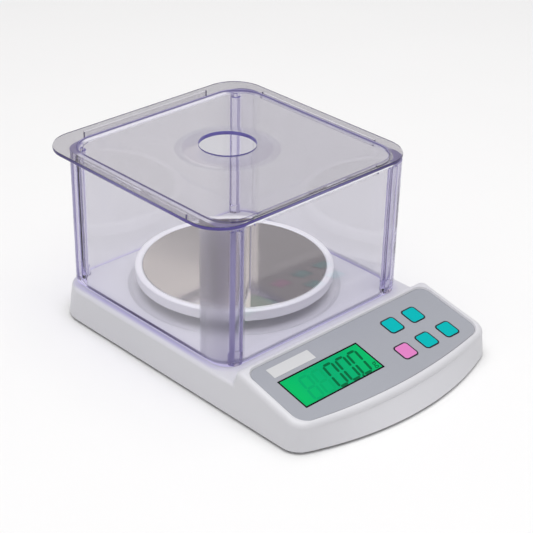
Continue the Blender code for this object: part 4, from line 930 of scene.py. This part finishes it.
def shifted(tree, mesh, **by):
    return add(tree, "GeometryNodeTransform", {"Geometry": mesh, "Translation": axes(tree, **by)}).outputs[0]


def cylinder(tree, steps, radius, height):
    wires = {"Vertices": steps, "Radius": radius, "Depth": height}
    return add(tree, "GeometryNodeMeshCylinder", wires).outputs["Mesh"]


def wire_along(tree, path, radius, steps, capped=False):
    """A round wire along a curve."""
    profile = add(tree, "GeometryNodeCurvePrimitiveCircle", {"Resolution": steps, "Radius": radius})
    wires = {"Curve": path, "Profile Curve": profile.outputs["Curve"], "Fill Caps": capped}
    return add(tree, "GeometryNodeCurveToMesh", wires).outputs["Mesh"]


def joined(tree, operation, first, others):
    """A boolean of one mesh, or none, with several others."""
    node = add(tree, "GeometryNodeMeshBoolean", {"Mesh 1": first} if first else {}, operation=operation)
    for other in others:
        tree.links.new(other, node.inputs["Mesh 2"])
    return node.outputs["Mesh"]


def close_tree(tree, start, end, points, shape, turn=None):
    """Set the shape on each point, make the copies real and give them their finish."""
    wires = {"Points": points, "Instance": shape}
    if turn:
        wires["Rotation"] = add(tree, "FunctionNodeEulerToRotation", {"Euler": turn}).outputs[0]
    placed = add(tree, "GeometryNodeInstanceOnPoints", wires)
    whole = add(tree, "GeometryNodeRealizeInstances", {"Geometry": placed.outputs[0]})
    dress = {"Geometry": whole.outputs[0], "Material": start.outputs["Finish"]}
    tree.links.new(add(tree, "GeometryNodeSetMaterial", dress).outputs[0], end.inputs["Geometry"])


def grow(name, tree, finish, values, points=((0.0, 0.0, 0.0),)):
    """Run a tree on a few points and keep the result as a plain mesh."""
    mesh = bpy.data.meshes.new(name)
    mesh.from_pydata([tuple(c * MM for c in p) for p in points], [], [])
    made = bpy.data.objects.new(name, mesh)
    bpy.context.scene.collection.objects.link(made)
    step = made.modifiers.new("grow", "NODES")
    step.node_group = tree
    sockets = {s.name: s.identifier for s in tree.interface.items_tree if s.in_out == "INPUT"}
    step[sockets["Finish"]] = finish
    for title, value in values.items():
        step[sockets[title]] = value
    apply_all(made)
    made.data.shade_smooth()
    made.data.set_sharp_from_angle(angle=math.radians(35))
    return made


# %% Tree: ribs round an axis
rib_tree, rib_in, rib_out = new_tree("ribs_round_axis", [
    ("Count", "NodeSocketInt", 6),
    ("Inner Radius", "NodeSocketFloat", 0.01),
    ("Outer Radius", "NodeSocketFloat", 0.05),
    ("Thickness", "NodeSocketFloat", 0.001),
    ("Height", "NodeSocketFloat", 0.003),
])
given = rib_in.outputs
span = sum_node(rib_tree, "SUBTRACT", given["Outer Radius"], given["Inner Radius"])
middle = product(rib_tree, sum_node(rib_tree, "ADD", given["Outer Radius"], given["Inner Radius"]), 0.5)
rib_size = axes(rib_tree, X=span, Y=given["Thickness"], Z=given["Height"])
rib = add(rib_tree, "GeometryNodeMeshCube", {"Size": rib_size}).outputs["Mesh"]
spokes = add(rib_tree, "GeometryNodeDuplicateElements",
             {"Geometry": given["Geometry"], "Amount": given["Count"]}, domain="POINT")
full_turn = sum_node(rib_tree, "DIVIDE", 2 * math.pi, given["Count"])
turn = axes(rib_tree, Z=product(rib_tree, spokes.outputs["Duplicate Index"], full_turn))
close_tree(rib_tree, rib_in, rib_out, spokes.outputs["Geometry"], shifted(rib_tree, rib, X=middle), turn)
print("tree:", rib_tree.name)

# %% Tray and ribs
PLATE_RADIUS = 58.8
TRAY_RADIUS = 63.8
TRAY_TOP = 38.5
inner = PLATE_RADIUS + 0.3
crown = (TRAY_RADIUS + inner) / 2
crown_half = (TRAY_RADIUS - inner) / 2
rise = crown_half * 0.5
profile = [(0.0, 34.2), (5.5, 34.2), (5.5, 27.6), (8.4, 27.6), (8.4, 34.6), (62.0, 34.6), (62.0, 31.3),
           (62.3, 31.0), (63.2, 31.0), (63.5, 31.3)]
for i in range(19):
    turn_by = math.pi * i / 18
    profile.append((crown + crown_half * math.cos(turn_by), TRAY_TOP - rise + rise * math.sin(turn_by)))
profile += [(inner, 36.4), (0.0, 36.4)]
tray = turned("turned_tray", profile, 0.0, PAN_Y, 192)
settle(tray)
wear(tray, tray_finish)
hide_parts("pan_tray")
rib_sizes = {"Count": 6, "Inner Radius": 8.2 * MM, "Outer Radius": 62.1 * MM, "Thickness": 1.6 * MM,
             "Height": 3.3 * MM}
ribs = grow("tray_ribs", rib_tree, tray_finish, rib_sizes, [(0.0, PAN_Y, 33.0)])
for piece in (tray, ribs):
    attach(piece, "pan")
print("tray ribs:", len(ribs.data.polygons) // 6)

# %% Polished pan
steel_finish, tree, shader = plain_finish("polished_steel")
where = object_place(tree)
cloud = spread(tree, noise(tree, where, 22.0), 0.35, 0.7, 0.06, 0.13)
fine = noise(tree, where, 900.0, 2.0)
drift = fade_in(tree, noise(tree, where, 12.0), 0.3, 0.7)
tone = mixed(tree, drift, (0.86, 0.85, 0.84), (0.82, 0.81, 0.805))
tree.links.new(tone, shader.inputs["Base Color"])
tree.links.new(cloud, shader.inputs["Roughness"])
shader.inputs["Metallic"].default_value = 1.0
bump(tree, shader, fine, 0.02, 0.00005)
edge = [(0.0, 36.7), (58.55, 36.7), (PLATE_RADIUS, 36.95), (PLATE_RADIUS, 37.6), (58.72, 37.8), (58.5, 37.9),
        (0.0, 37.9)]
pan = turned("steel_pan", edge, 0.0, PAN_Y, 192)
settle(pan)
wear(pan, steel_finish)
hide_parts("pan_plate")
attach(pan, "pan")
print("pan faces:", len(pan.data.polygons))

# %% [markdown]
# ## Clear shield and lid
# The shield is a square tube of clear plastic with a post in each corner, and the lid lies loose on
# it. Clear plastic looks nearly colourless through a thin wall but dark violet along its edges,
# because light travels far inside it there. The finish does part of this: a tint sits inside the
# material, as absorption by distance. The narrow edge faces, where a render loses the light inside
# the plastic, get violet and frosted finishes of their own. Lamps shine through the plastic without
# a hard shadow, because shadow rays and scattered rays pass straight through.

# %% Clear plastic
CLEAR = (1.0, 1.0, 1.0)
# Painted shade: the grey tone of the shield's far walls.
FAR_WALL_SHADE = (0.72, 0.72, 0.735)
VIOLET = (0.60, 0.57, 0.80)
LID_LOW = 115.4
UNDER_LOW = 114.2                   # underside of the lid's dropped panel
WELL_LINE = (75.0, 75.0, 19.7)      # half sizes and corner of the step round that panel
LINE_WIDE = 0.35
COLLAR_RADIUS = 33.8
LIPS_FADE = 0.85                    # how little the lips under the lid show


def clear_plastic(name, tone_of):
    """Clear plastic with a depth tint; tone_of(tree) gives its tone, gloss and how little it shows."""
    made, tree, shader = plain_finish(name)
    shader.inputs["IOR"].default_value = 1.49
    shader.inputs["Transmission Weight"].default_value = 1.0
    shader.inputs["Metallic"].default_value = 0.0
    tone, roughness, thin = tone_of(tree)
    tree.links.new(tone, shader.inputs["Base Color"])
    wired(tree, roughness, shader.inputs["Roughness"])
    bump(tree, shader, noise(tree, object_place(tree), 26.0, 2.0), 0.05, 0.0006)
    through = tree.nodes.new("ShaderNodeBsdfTransparent")
    ray = tree.nodes.new("ShaderNodeLightPath")
    choice = tree.nodes.new("ShaderNodeMixShader")
    soft_rays = sum_node(tree, "MAXIMUM", ray.outputs["Is Shadow Ray"], ray.outputs["Is Diffuse Ray"])
    wired(tree, sum_node(tree, "MAXIMUM", soft_rays, thin), choice.inputs["Fac"])
    tree.links.new(shader.outputs[0], choice.inputs[1])
    tree.links.new(through.outputs[0], choice.inputs[2])
    end = tree.nodes["Material Output"]
    tree.links.new(choice.outputs[0], end.inputs["Surface"])
    depth_tint = tree.nodes.new("ShaderNodeVolumeAbsorption")
    depth_tint.inputs["Color"].default_value = (0.2, 0.1, 0.6, 1.0)
    depth_tint.inputs["Density"].default_value = 25.0
    tree.links.new(depth_tint.outputs[0], end.inputs["Volume"])
    return made


def shield_tone(tree):
    """Painted shade greys the far walls, violet runs along the foot, and the thick front-left corner is
    blurred and has painted shade.
    """
    spot = split(tree, flat_place(tree, 0.0, PAN_Y))
    diagonal = sum_node(tree, "ADD", spot["X"], spot["Y"])
    tone = mixed(tree, fade_in(tree, diagonal, -15.0, 15.0), CLEAR, FAR_WALL_SHADE)
    foot = fade_out(tree, object_height(tree), 23.6, 24.8)
    # Painted shade darkens the thick front-left corner; the roughness below also blurs it.
    corner = product(tree, fade_out(tree, spot["X"], -62.8, -62.4), fade_out(tree, spot["Y"], -53.4, -53.0))
    tone = mixed(tree, corner, tone, (0.70, 0.69, 0.74))
    across = distance_from(tree, sum_node(tree, "ABSOLUTE", spot["X"]), POST_X)
    along = distance_from(tree, sum_node(tree, "ABSOLUTE", spot["Y"]), POST_Y)
    squares = sum_node(tree, "ADD", product(tree, across, across), product(tree, along, along))
    post = fade_out(tree, sum_node(tree, "SQRT", squares), 3.6, 4.2)
    tone = mixed(tree, post, tone, (0.80, 0.78, 0.90))
    blur = spread(tree, sum_node(tree, "SUBTRACT", corner, post), 0.0, 1.0, 0.015, 0.27)
    return mixed(tree, foot, tone, VIOLET), blur, 0.0


def lid_tone(tree):
    """Clear over the dropped panel, duller on the collar and border, with a violet line between."""
    gap = outline_gap(tree, 0.0, WELL_Y, *WELL_LINE)
    collar = fade_out(tree, far_from(tree, 0.0, HOLE_Y), COLLAR_RADIUS - 0.2, COLLAR_RADIUS + 0.2)
    tone = mixed(tree, collar, CLEAR, (0.84, 0.83, 0.88))
    tone = mixed(tree, fade_in(tree, gap, -0.2, 0.2), tone, (0.66, 0.655, 0.675))
    line = spread(tree, distance_from(tree, gap, 0.5), LINE_WIDE, 2 * LINE_WIDE, 0.8, 0.0)
    tone = mixed(tree, line, tone, (0.42, 0.39, 0.62))
    height = object_height(tree)
    below = fade_out(tree, height, LID_LOW - 0.2, LID_LOW - 0.1)
    spot = split(tree, flat_place(tree, 0.0, WELL_Y))
    across, along = (sum_node(tree, "ABSOLUTE", spot[axis]) for axis in "XY")
    reach = sum_node(tree, "MAXIMUM", across, along)
    side_lips = product(tree, below, spread(tree, reach, 77.0, 77.2, 0.0, LIPS_FADE))
    front_lip = spread(tree, height, UNDER_LOW - 0.15, UNDER_LOW - 0.05, LIPS_FADE, 0.0)
    lips = sum_node(tree, "MAXIMUM", side_lips, front_lip)
    return mixed(tree, below, tone, CLEAR), 0.015, lips


shield_finish = clear_plastic("clear_shield_plastic", shield_tone)
lid_finish = clear_plastic("clear_lid_plastic", lid_tone)
print("clear finishes: 2")

# %% Finishes of the narrow edges
edge_finish = moulded("violet_edge", (0.155, 0.14, 0.34), (0.17, 0.15, 0.36), 0.25, grain=0.0)
# The violet edges are painted in place of light carried inside the plastic; this paint is deeper violet near
# the front-left corner and darker far from it.
from_corner = far_from(edge_finish.node_tree, -84.0, -38.0)
over(edge_finish, (0.076, 0.054, 0.26), fade_out(edge_finish.node_tree, from_corner, 25.0, 60.0))
over(edge_finish, (0.045, 0.03, 0.15), fade_in(edge_finish.node_tree, from_corner, 85.0, 140.0))
deep_finish = moulded("violet_deep", (0.11, 0.09, 0.34), (0.13, 0.11, 0.36), 0.25, grain=0.0)
step_finish = moulded("violet_step", (0.20, 0.185, 0.36), (0.23, 0.21, 0.38), 0.3, grain=0.0)
post_finish = moulded("violet_post", (0.50, 0.47, 0.67), (0.53, 0.50, 0.69), 0.3, grain=0.0)
rim_finish = moulded("frosted_rim", (0.86, 0.855, 0.90), (0.84, 0.835, 0.89), 0.5, grain=0.0)
tree = rim_finish.node_tree
spot = split(tree, flat_place(tree, 0.0, PAN_Y))
at_corners = [fade_in(tree, sum_node(tree, "ABSOLUTE", spot[axis]), 60.0, 64.0) for axis in "XY"]
# Painted shade: the rim gets darker towards its right side.
over(rim_finish, (0.58, 0.57, 0.66), fade_in(tree, spot["X"], 60.0, 68.0))
over(rim_finish, (0.27, 0.245, 0.42), *at_corners, fade_in(tree, object_height(tree), 100.0, 101.0))


def dress_faces(piece, finishes, choose):
    """Give each face one of the finishes, by its middle in millimetres and its normal."""
    piece.data.materials.clear()
    for finish in finishes:
        piece.data.materials.append(finish)
    for face in piece.data.polygons:
        face.material_index = choose(*(face.center / MM), face.normal)


def outline_distance(x, y, half_x, half_y, corner):
    """How far a point lies outside a rounded rectangle, negative inside it."""
    reach_x = abs(x) - half_x + corner
    reach_y = abs(y) - half_y + corner
    return math.hypot(max(reach_x, 0.0), max(reach_y, 0.0)) + min(max(reach_x, reach_y), 0.0) - corner


print("edge finishes: 5")

# %% Shield
SHIELD_LOW = 22.3
SHIELD_HIGH = 115.1
DRAFT = 0.5
POST_RADIUS = 4.0


def tube_ring(half, z, corner):
    return at_height(rounded_rectangle(0.0, PAN_Y, half, half, corner, 24), z)


outer = []
for z, inset in ((SHIELD_LOW, 0.25), (SHIELD_LOW + 0.25, 0.0), (SHIELD_HIGH - 0.3, 0.0), (SHIELD_HIGH, 0.3)):
    share = (z - SHIELD_LOW) / (SHIELD_HIGH - SHIELD_LOW)
    outer.append(tube_ring(SHIELD_HALF + DRAFT * share - inset, z, SHIELD_CORNER))
shield = skin("clear_shield", outer)
bore = [tube_ring(74.6 - 0.02, SHIELD_LOW - 4.0, 18.0), tube_ring(75.1 + 0.02, SHIELD_HIGH + 4.0, 18.0)]
carve(shield, skin("shield_bore", bore))
post = [(0.0, SHIELD_LOW), (3.85, SHIELD_LOW), (POST_RADIUS, SHIELD_LOW + 0.2), (POST_RADIUS, 29.7),
        (3.7, 30.0), (3.3, 30.0), (3.3, 111.3), (3.0, 111.6), (1.6, 111.6), (1.6, 113.2), (1.4, 113.6),
        (1.0, 113.8), (0.0, 113.8)]
for sx in (-1, 1):
    for sy in (-1, 1):
        weld(shield, turned("shield_post", post, sx * POST_X, PAN_Y + sy * POST_Y, 40))
settle(shield, 28.0)


def shield_face(x, y, z, normal):
    """Clear, but violet on the post caps, painted violet shade on the posts' sides chosen by which way they
    face, and frosted on the rim and the foot.
    """
    across = abs(x)
    along = abs(y - PAN_Y)
    if math.hypot(across - POST_X, along - POST_Y) < POST_RADIUS + 0.1 and z < 114.0:
        if normal.z > 0.5 and z > 100.0:
            return 1
        # Painted violet shade on the posts' sides, chosen by which way each side faces.
        to_left = normal.x * -0.7257 + normal.y * 0.6878
        near = x < 0.0 and y < PAN_Y
        violet = to_left > (0.35 if near else 0.8) or not near and -0.9 < to_left < -0.3
        return 2 if z > 24.0 and violet else 0
    rim = z > SHIELD_HIGH - 0.35 and normal.z > 0.3
    return 3 if rim or z < SHIELD_LOW + 0.1 and normal.z < -0.7 else 0


dress_faces(shield, (shield_finish, deep_finish, post_finish, rim_finish), shield_face)
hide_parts("shield_body")
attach(shield, "shield")
print("shield faces:", len(shield.data.polygons))

# %% Lid
LID_TOP = 117.6
LID_MIDDLE = (-0.8, 42.5)
LID_HALF = (85.2, 84.3)
LID_CORNER = 22.8
LID_PROFILE = ((0.45, LID_LOW), (0.13, LID_LOW + 0.13), (0.0, LID_LOW + 0.45), (0.0, LID_TOP - 0.7),
               (0.2, LID_TOP - 0.2), (0.7, LID_TOP))
rings = []
for inset, z in LID_PROFILE:
    outline = rounded_rectangle(*LID_MIDDLE, LID_HALF[0] - inset, LID_HALF[1] - inset, LID_CORNER - inset, 24)
    rings.append(at_height(outline, z))
lid = skin("clear_lid", rings)
under = 74.1
under_corner = 19.4
under_rings = slab(0.0, PAN_Y, under, under, under_corner,
                   ((-0.2, UNDER_LOW), (0.0, UNDER_LOW + 0.2), (0.0, 115.8)), 24)
weld(lid, skin("under_panel", under_rings))
lip_out = 79.55
lip_half = (52.5, 0.65)     # along the side, and across it
for sx, sy in ((1, 0), (-1, 0), (0, 1), (0, -1)):
    half_x, half_y = reversed(lip_half) if sx else lip_half
    place = (LID_MIDDLE[0] + sx * lip_out, LID_MIDDLE[1] + sy * lip_out)
    weld(lid, skin("lip", slab(*place, half_x, half_y, 0.4, ((0.0, 111.2), (0.0, 115.7)), 4)))
well = ((0.0, 116.5), (0.0, 117.3), (0.25, 117.65), (0.6, 120.0))
carve(lid, skin("lid_well", slab(0.0, WELL_Y, 74.7, 74.7, under_corner, well, 24)))
collar = [(18.05, 114.5), (COLLAR_RADIUS, 114.5), (COLLAR_RADIUS, 116.5), (18.85, 119.8), (18.05, 119.8)]
weld(lid, turned("collar", collar, 0.0, HOLE_Y, 128))
hollow = [(0.0, 110.0), (COLLAR_RADIUS, 110.0), (COLLAR_RADIUS, UNDER_LOW), (18.35, 117.5), (18.35, 119.3),
          (18.5, 119.65), (18.95, 120.2), (0.0, 120.2)]
carve(lid, turned("collar_hollow", hollow, 0.0, HOLE_Y, 128))
settle(lid, 28.0)


def lid_face(x, y, z, normal):
    """Clear, but violet on the outer edge, in the hole, on the step and at the ends of the lips."""
    from_middle = abs(x - LID_MIDDLE[0]), abs(y - LID_MIDDLE[1])
    if abs(normal.z) > 0.8:
        return 0
    if math.hypot(x, y - HOLE_Y) < 18.6:
        return 2
    if z < LID_LOW - 0.05 and max(from_middle) > 76.0:
        return 1 if min(from_middle) > 51.5 else 0
    if outline_distance(*from_middle, *LID_HALF, LID_CORNER) > -0.75:
        return 4 if y < 0.0 and from_middle[0] < 62.0 and z < 116.0 else 1
    step = z > 116.4 and abs(outline_distance(x, y - WELL_Y, 74.9, 74.9, under_corner)) < 0.5
    under_edge = z < LID_LOW and abs(outline_distance(x, y - PAN_Y, under, under, under_corner)) < 0.3
    near = x < -60.0 or y < PAN_Y - 60.0
    return 3 if step or under_edge and near else 4 if under_edge else 0


dress_faces(lid, (lid_finish, edge_finish, deep_finish, step_finish, rim_finish), lid_face)
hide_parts("shield_lid")
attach(lid, "lid")
print("lid faces:", len(lid.data.polygons))

# %% [markdown]
# ## Underside
# A user sees the underside when changing the cells: rubber feet, cross-head screws and the battery
# door. Screws and feet are the same piece many times over, so each is drawn once in a node tree and
# placed on points. The cross in a screw's head is cut with a boolean inside the tree.

# %% Tree: cross-head screw
screw_tree, screw_in, screw_out = new_tree("cross_head_screw", [
    ("Head Radius", "NodeSocketFloat", 0.0028),
    ("Head Height", "NodeSocketFloat", 0.0016),
    ("Shank Radius", "NodeSocketFloat", 0.0014),
    ("Shank Length", "NodeSocketFloat", 0.006),
    ("Slot Width", "NodeSocketFloat", 0.0006),
    ("Tilt", "NodeSocketFloat", 0.0),
])
given = screw_in.outputs
head_height = given["Head Height"]
head = shifted(screw_tree, cylinder(screw_tree, 32, given["Head Radius"], head_height),
               Z=product(screw_tree, head_height, -0.5))
shank = shifted(screw_tree, cylinder(screw_tree, 20, given["Shank Radius"], given["Shank Length"]),
                Z=product(screw_tree, given["Shank Length"], 0.47))
slot_long = product(screw_tree, given["Head Radius"], 1.25)
slots = []
for long_axis, short_axis in (("X", "Y"), ("Y", "X")):
    size = axes(screw_tree, **{long_axis: slot_long, short_axis: given["Slot Width"], "Z": head_height})
    slot = add(screw_tree, "GeometryNodeMeshCube", {"Size": size}).outputs["Mesh"]
    slots.append(shifted(screw_tree, slot, Z=product(screw_tree, head_height, -1.0)))
solid = joined(screw_tree, "UNION", None, (head, shank))
slotted = joined(screw_tree, "DIFFERENCE", solid, slots)
close_tree(screw_tree, screw_in, screw_out, given["Geometry"], slotted, axes(screw_tree, X=given["Tilt"]))
print("tree:", screw_tree.name)

# %% Screws
screw_finish = moulded("screw_steel", (0.62, 0.60, 0.58), (0.50, 0.49, 0.48), 0.34, handling=0.2,
                       metallic=1.0, grain=0.05)
case_screw_sizes = {"Head Radius": 2.8 * MM, "Head Height": 1.6 * MM, "Shank Radius": 1.4 * MM,
                    "Shank Length": 6.5 * MM, "Slot Width": 0.7 * MM}
case_places = [(sx * x, y, 4.0) for x, y in ((66.0, 104.0), (76.5, -84.0)) for sx in (-1, 1)]
case_screws = grow("case_screw_set", screw_tree, screw_finish, case_screw_sizes, case_places)
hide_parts(*[f"case_screw_{i}" for i in range(1, 5)])
board_screw_sizes = {"Head Radius": 2.2 * MM, "Head Height": 1.4 * MM, "Shank Radius": 1.1 * MM,
                     "Shank Length": 5.5 * MM, "Slot Width": 0.6 * MM, "Tilt": PANEL_SLOPE}
board_places = leaned([(-67.5, -10.5), (67.5, -10.5), (-67.5, -49.5), (8.3, -49.5)], -10.9)
board_screws = grow("board_screw_set", screw_tree, screw_finish, board_screw_sizes, board_places)
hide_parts(*[f"board_screw_{i}" for i in range(1, 5)])
for piece in (case_screws, board_screws):
    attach(piece, "base")
print("screws:", len(case_places) + len(board_places))

# %% Tree: foot with grip rings
foot_tree, foot_in, foot_out = new_tree("grip_foot", [
    ("Radius", "NodeSocketFloat", 0.0065),
    ("Height", "NodeSocketFloat", 0.003),
    ("Groove", "NodeSocketFloat", 0.0003),
])
given = foot_in.outputs
pad = shifted(foot_tree, cylinder(foot_tree, 64, given["Radius"], given["Height"]),
              Z=product(foot_tree, given["Height"], 0.5))
grooves = []
for share in (0.3, 0.53, 0.76):
    ring_radius = product(foot_tree, given["Radius"], share)
    path = add(foot_tree, "GeometryNodeCurvePrimitiveCircle", {"Resolution": 48, "Radius": ring_radius})
    grooves.append(wire_along(foot_tree, path.outputs["Curve"], given["Groove"], 8))
grooved = joined(foot_tree, "DIFFERENCE", pad, grooves)
close_tree(foot_tree, foot_in, foot_out, given["Geometry"], grooved)
foot_sizes = {"Radius": 6.5 * MM, "Height": 3.1 * MM, "Groove": 0.3 * MM}
foot_places = [(sx * 68.0, y, 0.0) for y in (88.0, -96.0) for sx in (-1, 1)]
feet = grow("rubber_feet", foot_tree, rubber_finish, foot_sizes, foot_places)
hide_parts("foot_1", "foot_2", "foot_3", "foot_4")
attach(feet, "base")
print("feet:", len(foot_places))

# %% Tree: coil spring
coil_tree, coil_in, coil_out = new_tree("coil_spring", [
    ("Turns", "NodeSocketFloat", 4.0),
    ("Radius", "NodeSocketFloat", 0.0026),
    ("Length", "NodeSocketFloat", 0.004),
    ("Wire Radius", "NodeSocketFloat", 0.00035),
])
given = coil_in.outputs
radius = given["Radius"]
spiral_sizes = {"Resolution": 24, "Rotations": given["Turns"], "Start Radius": radius, "End Radius": radius,
                "Height": given["Length"]}
spiral = add(coil_tree, "GeometryNodeCurveSpiral", spiral_sizes)
lying = add(coil_tree, "GeometryNodeTransform", {"Geometry": spiral.outputs["Curve"],
                                                 "Rotation": (0.0, QUARTER, 0.0)})
coil = wire_along(coil_tree, lying.outputs[0], given["Wire Radius"], 10, True)
close_tree(coil_tree, coil_in, coil_out, given["Geometry"], coil)
contact_finish = moulded("contact_spring_steel", (0.66, 0.64, 0.62), (0.58, 0.57, 0.56), 0.25, metallic=1.0,
                         grain=0.03)
coil_sizes = {"Turns": 4.0, "Radius": 2.6 * MM, "Length": 3.4 * MM, "Wire Radius": 0.35 * MM}
SPRINGS = ((22.5, 76.3), (-25.9, 87.7))
for i, (x, y) in enumerate(SPRINGS):
    spring = grow(f"spring_{i + 1}", coil_tree, contact_finish, coil_sizes, [(x, y, 9.85)])
    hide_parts(f"contact_spring_{i + 1}")
    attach(spring, "base")
print("springs:", len(SPRINGS))

# %% [markdown]
# ## Pieces that keep their solid shape
# What is inside, or plain enough already, keeps the shape of the solid model and only gets a better
# finish. A circuit board has a faint weave under its green lacquer, an aluminium bar has fine
# milling marks, and a dry cell's printed jacket is drawn here as plain dark, faintly metallic plastic.

# %% Finishes for the inner pieces


def bands(tree, where, scale, axis="X", distortion=0.0):
    node = tree.nodes.new("ShaderNodeTexWave")
    node.bands_direction = axis
    for title, value in (("Vector", where), ("Scale", scale), ("Distortion", distortion)):
        wired(tree, value, node.inputs[title])
    return node.outputs["Fac"]


def woven_board(name):
    made, tree, shader = plain_finish(name)
    where = object_place(tree)
    weave = product(tree, bands(tree, where, 420.0, "X"), bands(tree, where, 420.0, "Y"))
    tree.links.new(mixed(tree, weave, (0.012, 0.12, 0.05), (0.02, 0.17, 0.07)), shader.inputs["Base Color"])
    shader.inputs["Roughness"].default_value = 0.35
    bump(tree, shader, weave, 0.1)
    return made


def milled_metal(name, colour, shade):
    made, tree, shader = plain_finish(name)
    where = object_place(tree)
    marks = bands(tree, where, 700.0, distortion=1.5)
    tree.links.new(mixed(tree, marks, colour, shade), shader.inputs["Base Color"])
    tree.links.new(spread(tree, noise(tree, where, 60.0), 0.3, 0.7, 0.28, 0.42), shader.inputs["Roughness"])
    shader.inputs["Metallic"].default_value = 1.0
    bump(tree, shader, marks, 0.05, 0.00005)
    return made


board_finish = woven_board("board_lacquer")
bar_finish = milled_metal("milled_aluminium", (0.72, 0.73, 0.75), (0.66, 0.67, 0.69))
jacket_finish = moulded("cell_jacket", (0.08, 0.08, 0.09), (0.11, 0.11, 0.12), 0.3, metallic=0.2, grain=0.02)
glass_finish = moulded("display_glass_green", (0.01, 0.42, 0.12), (0.01, 0.38, 0.11), 0.15, grain=0.0)
light_finish = moulded("light_guide_milk", (0.80, 0.80, 0.82), (0.76, 0.76, 0.78), 0.35)

# %% Dress the solid pieces
DRESSED = {
    lower_finish: ("lower_case", "battery_door"),
    glass_finish: ("display_glass",),
    light_finish: ("display_backlight",),
    board_finish: ("main_board",),
    bar_finish: ("load_cell", "cell_spacer", "pan_carrier"),
    jacket_finish: ("dry_cell_1", "dry_cell_2"),
    contact_finish: ("contact_plate_1", "contact_plate_2"),
    dark_finish: ("controller_chip", "adapter_socket",
                  *(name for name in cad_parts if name.startswith("switch_"))),
    screw_finish: tuple(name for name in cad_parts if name.startswith("cell_screw_")),
}
for finish, names in DRESSED.items():
    for name in names:
        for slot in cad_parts[name].material_slots:
            slot.material = finish
print("dressed solid pieces:", sum(len(names) for names in DRESSED.values()))
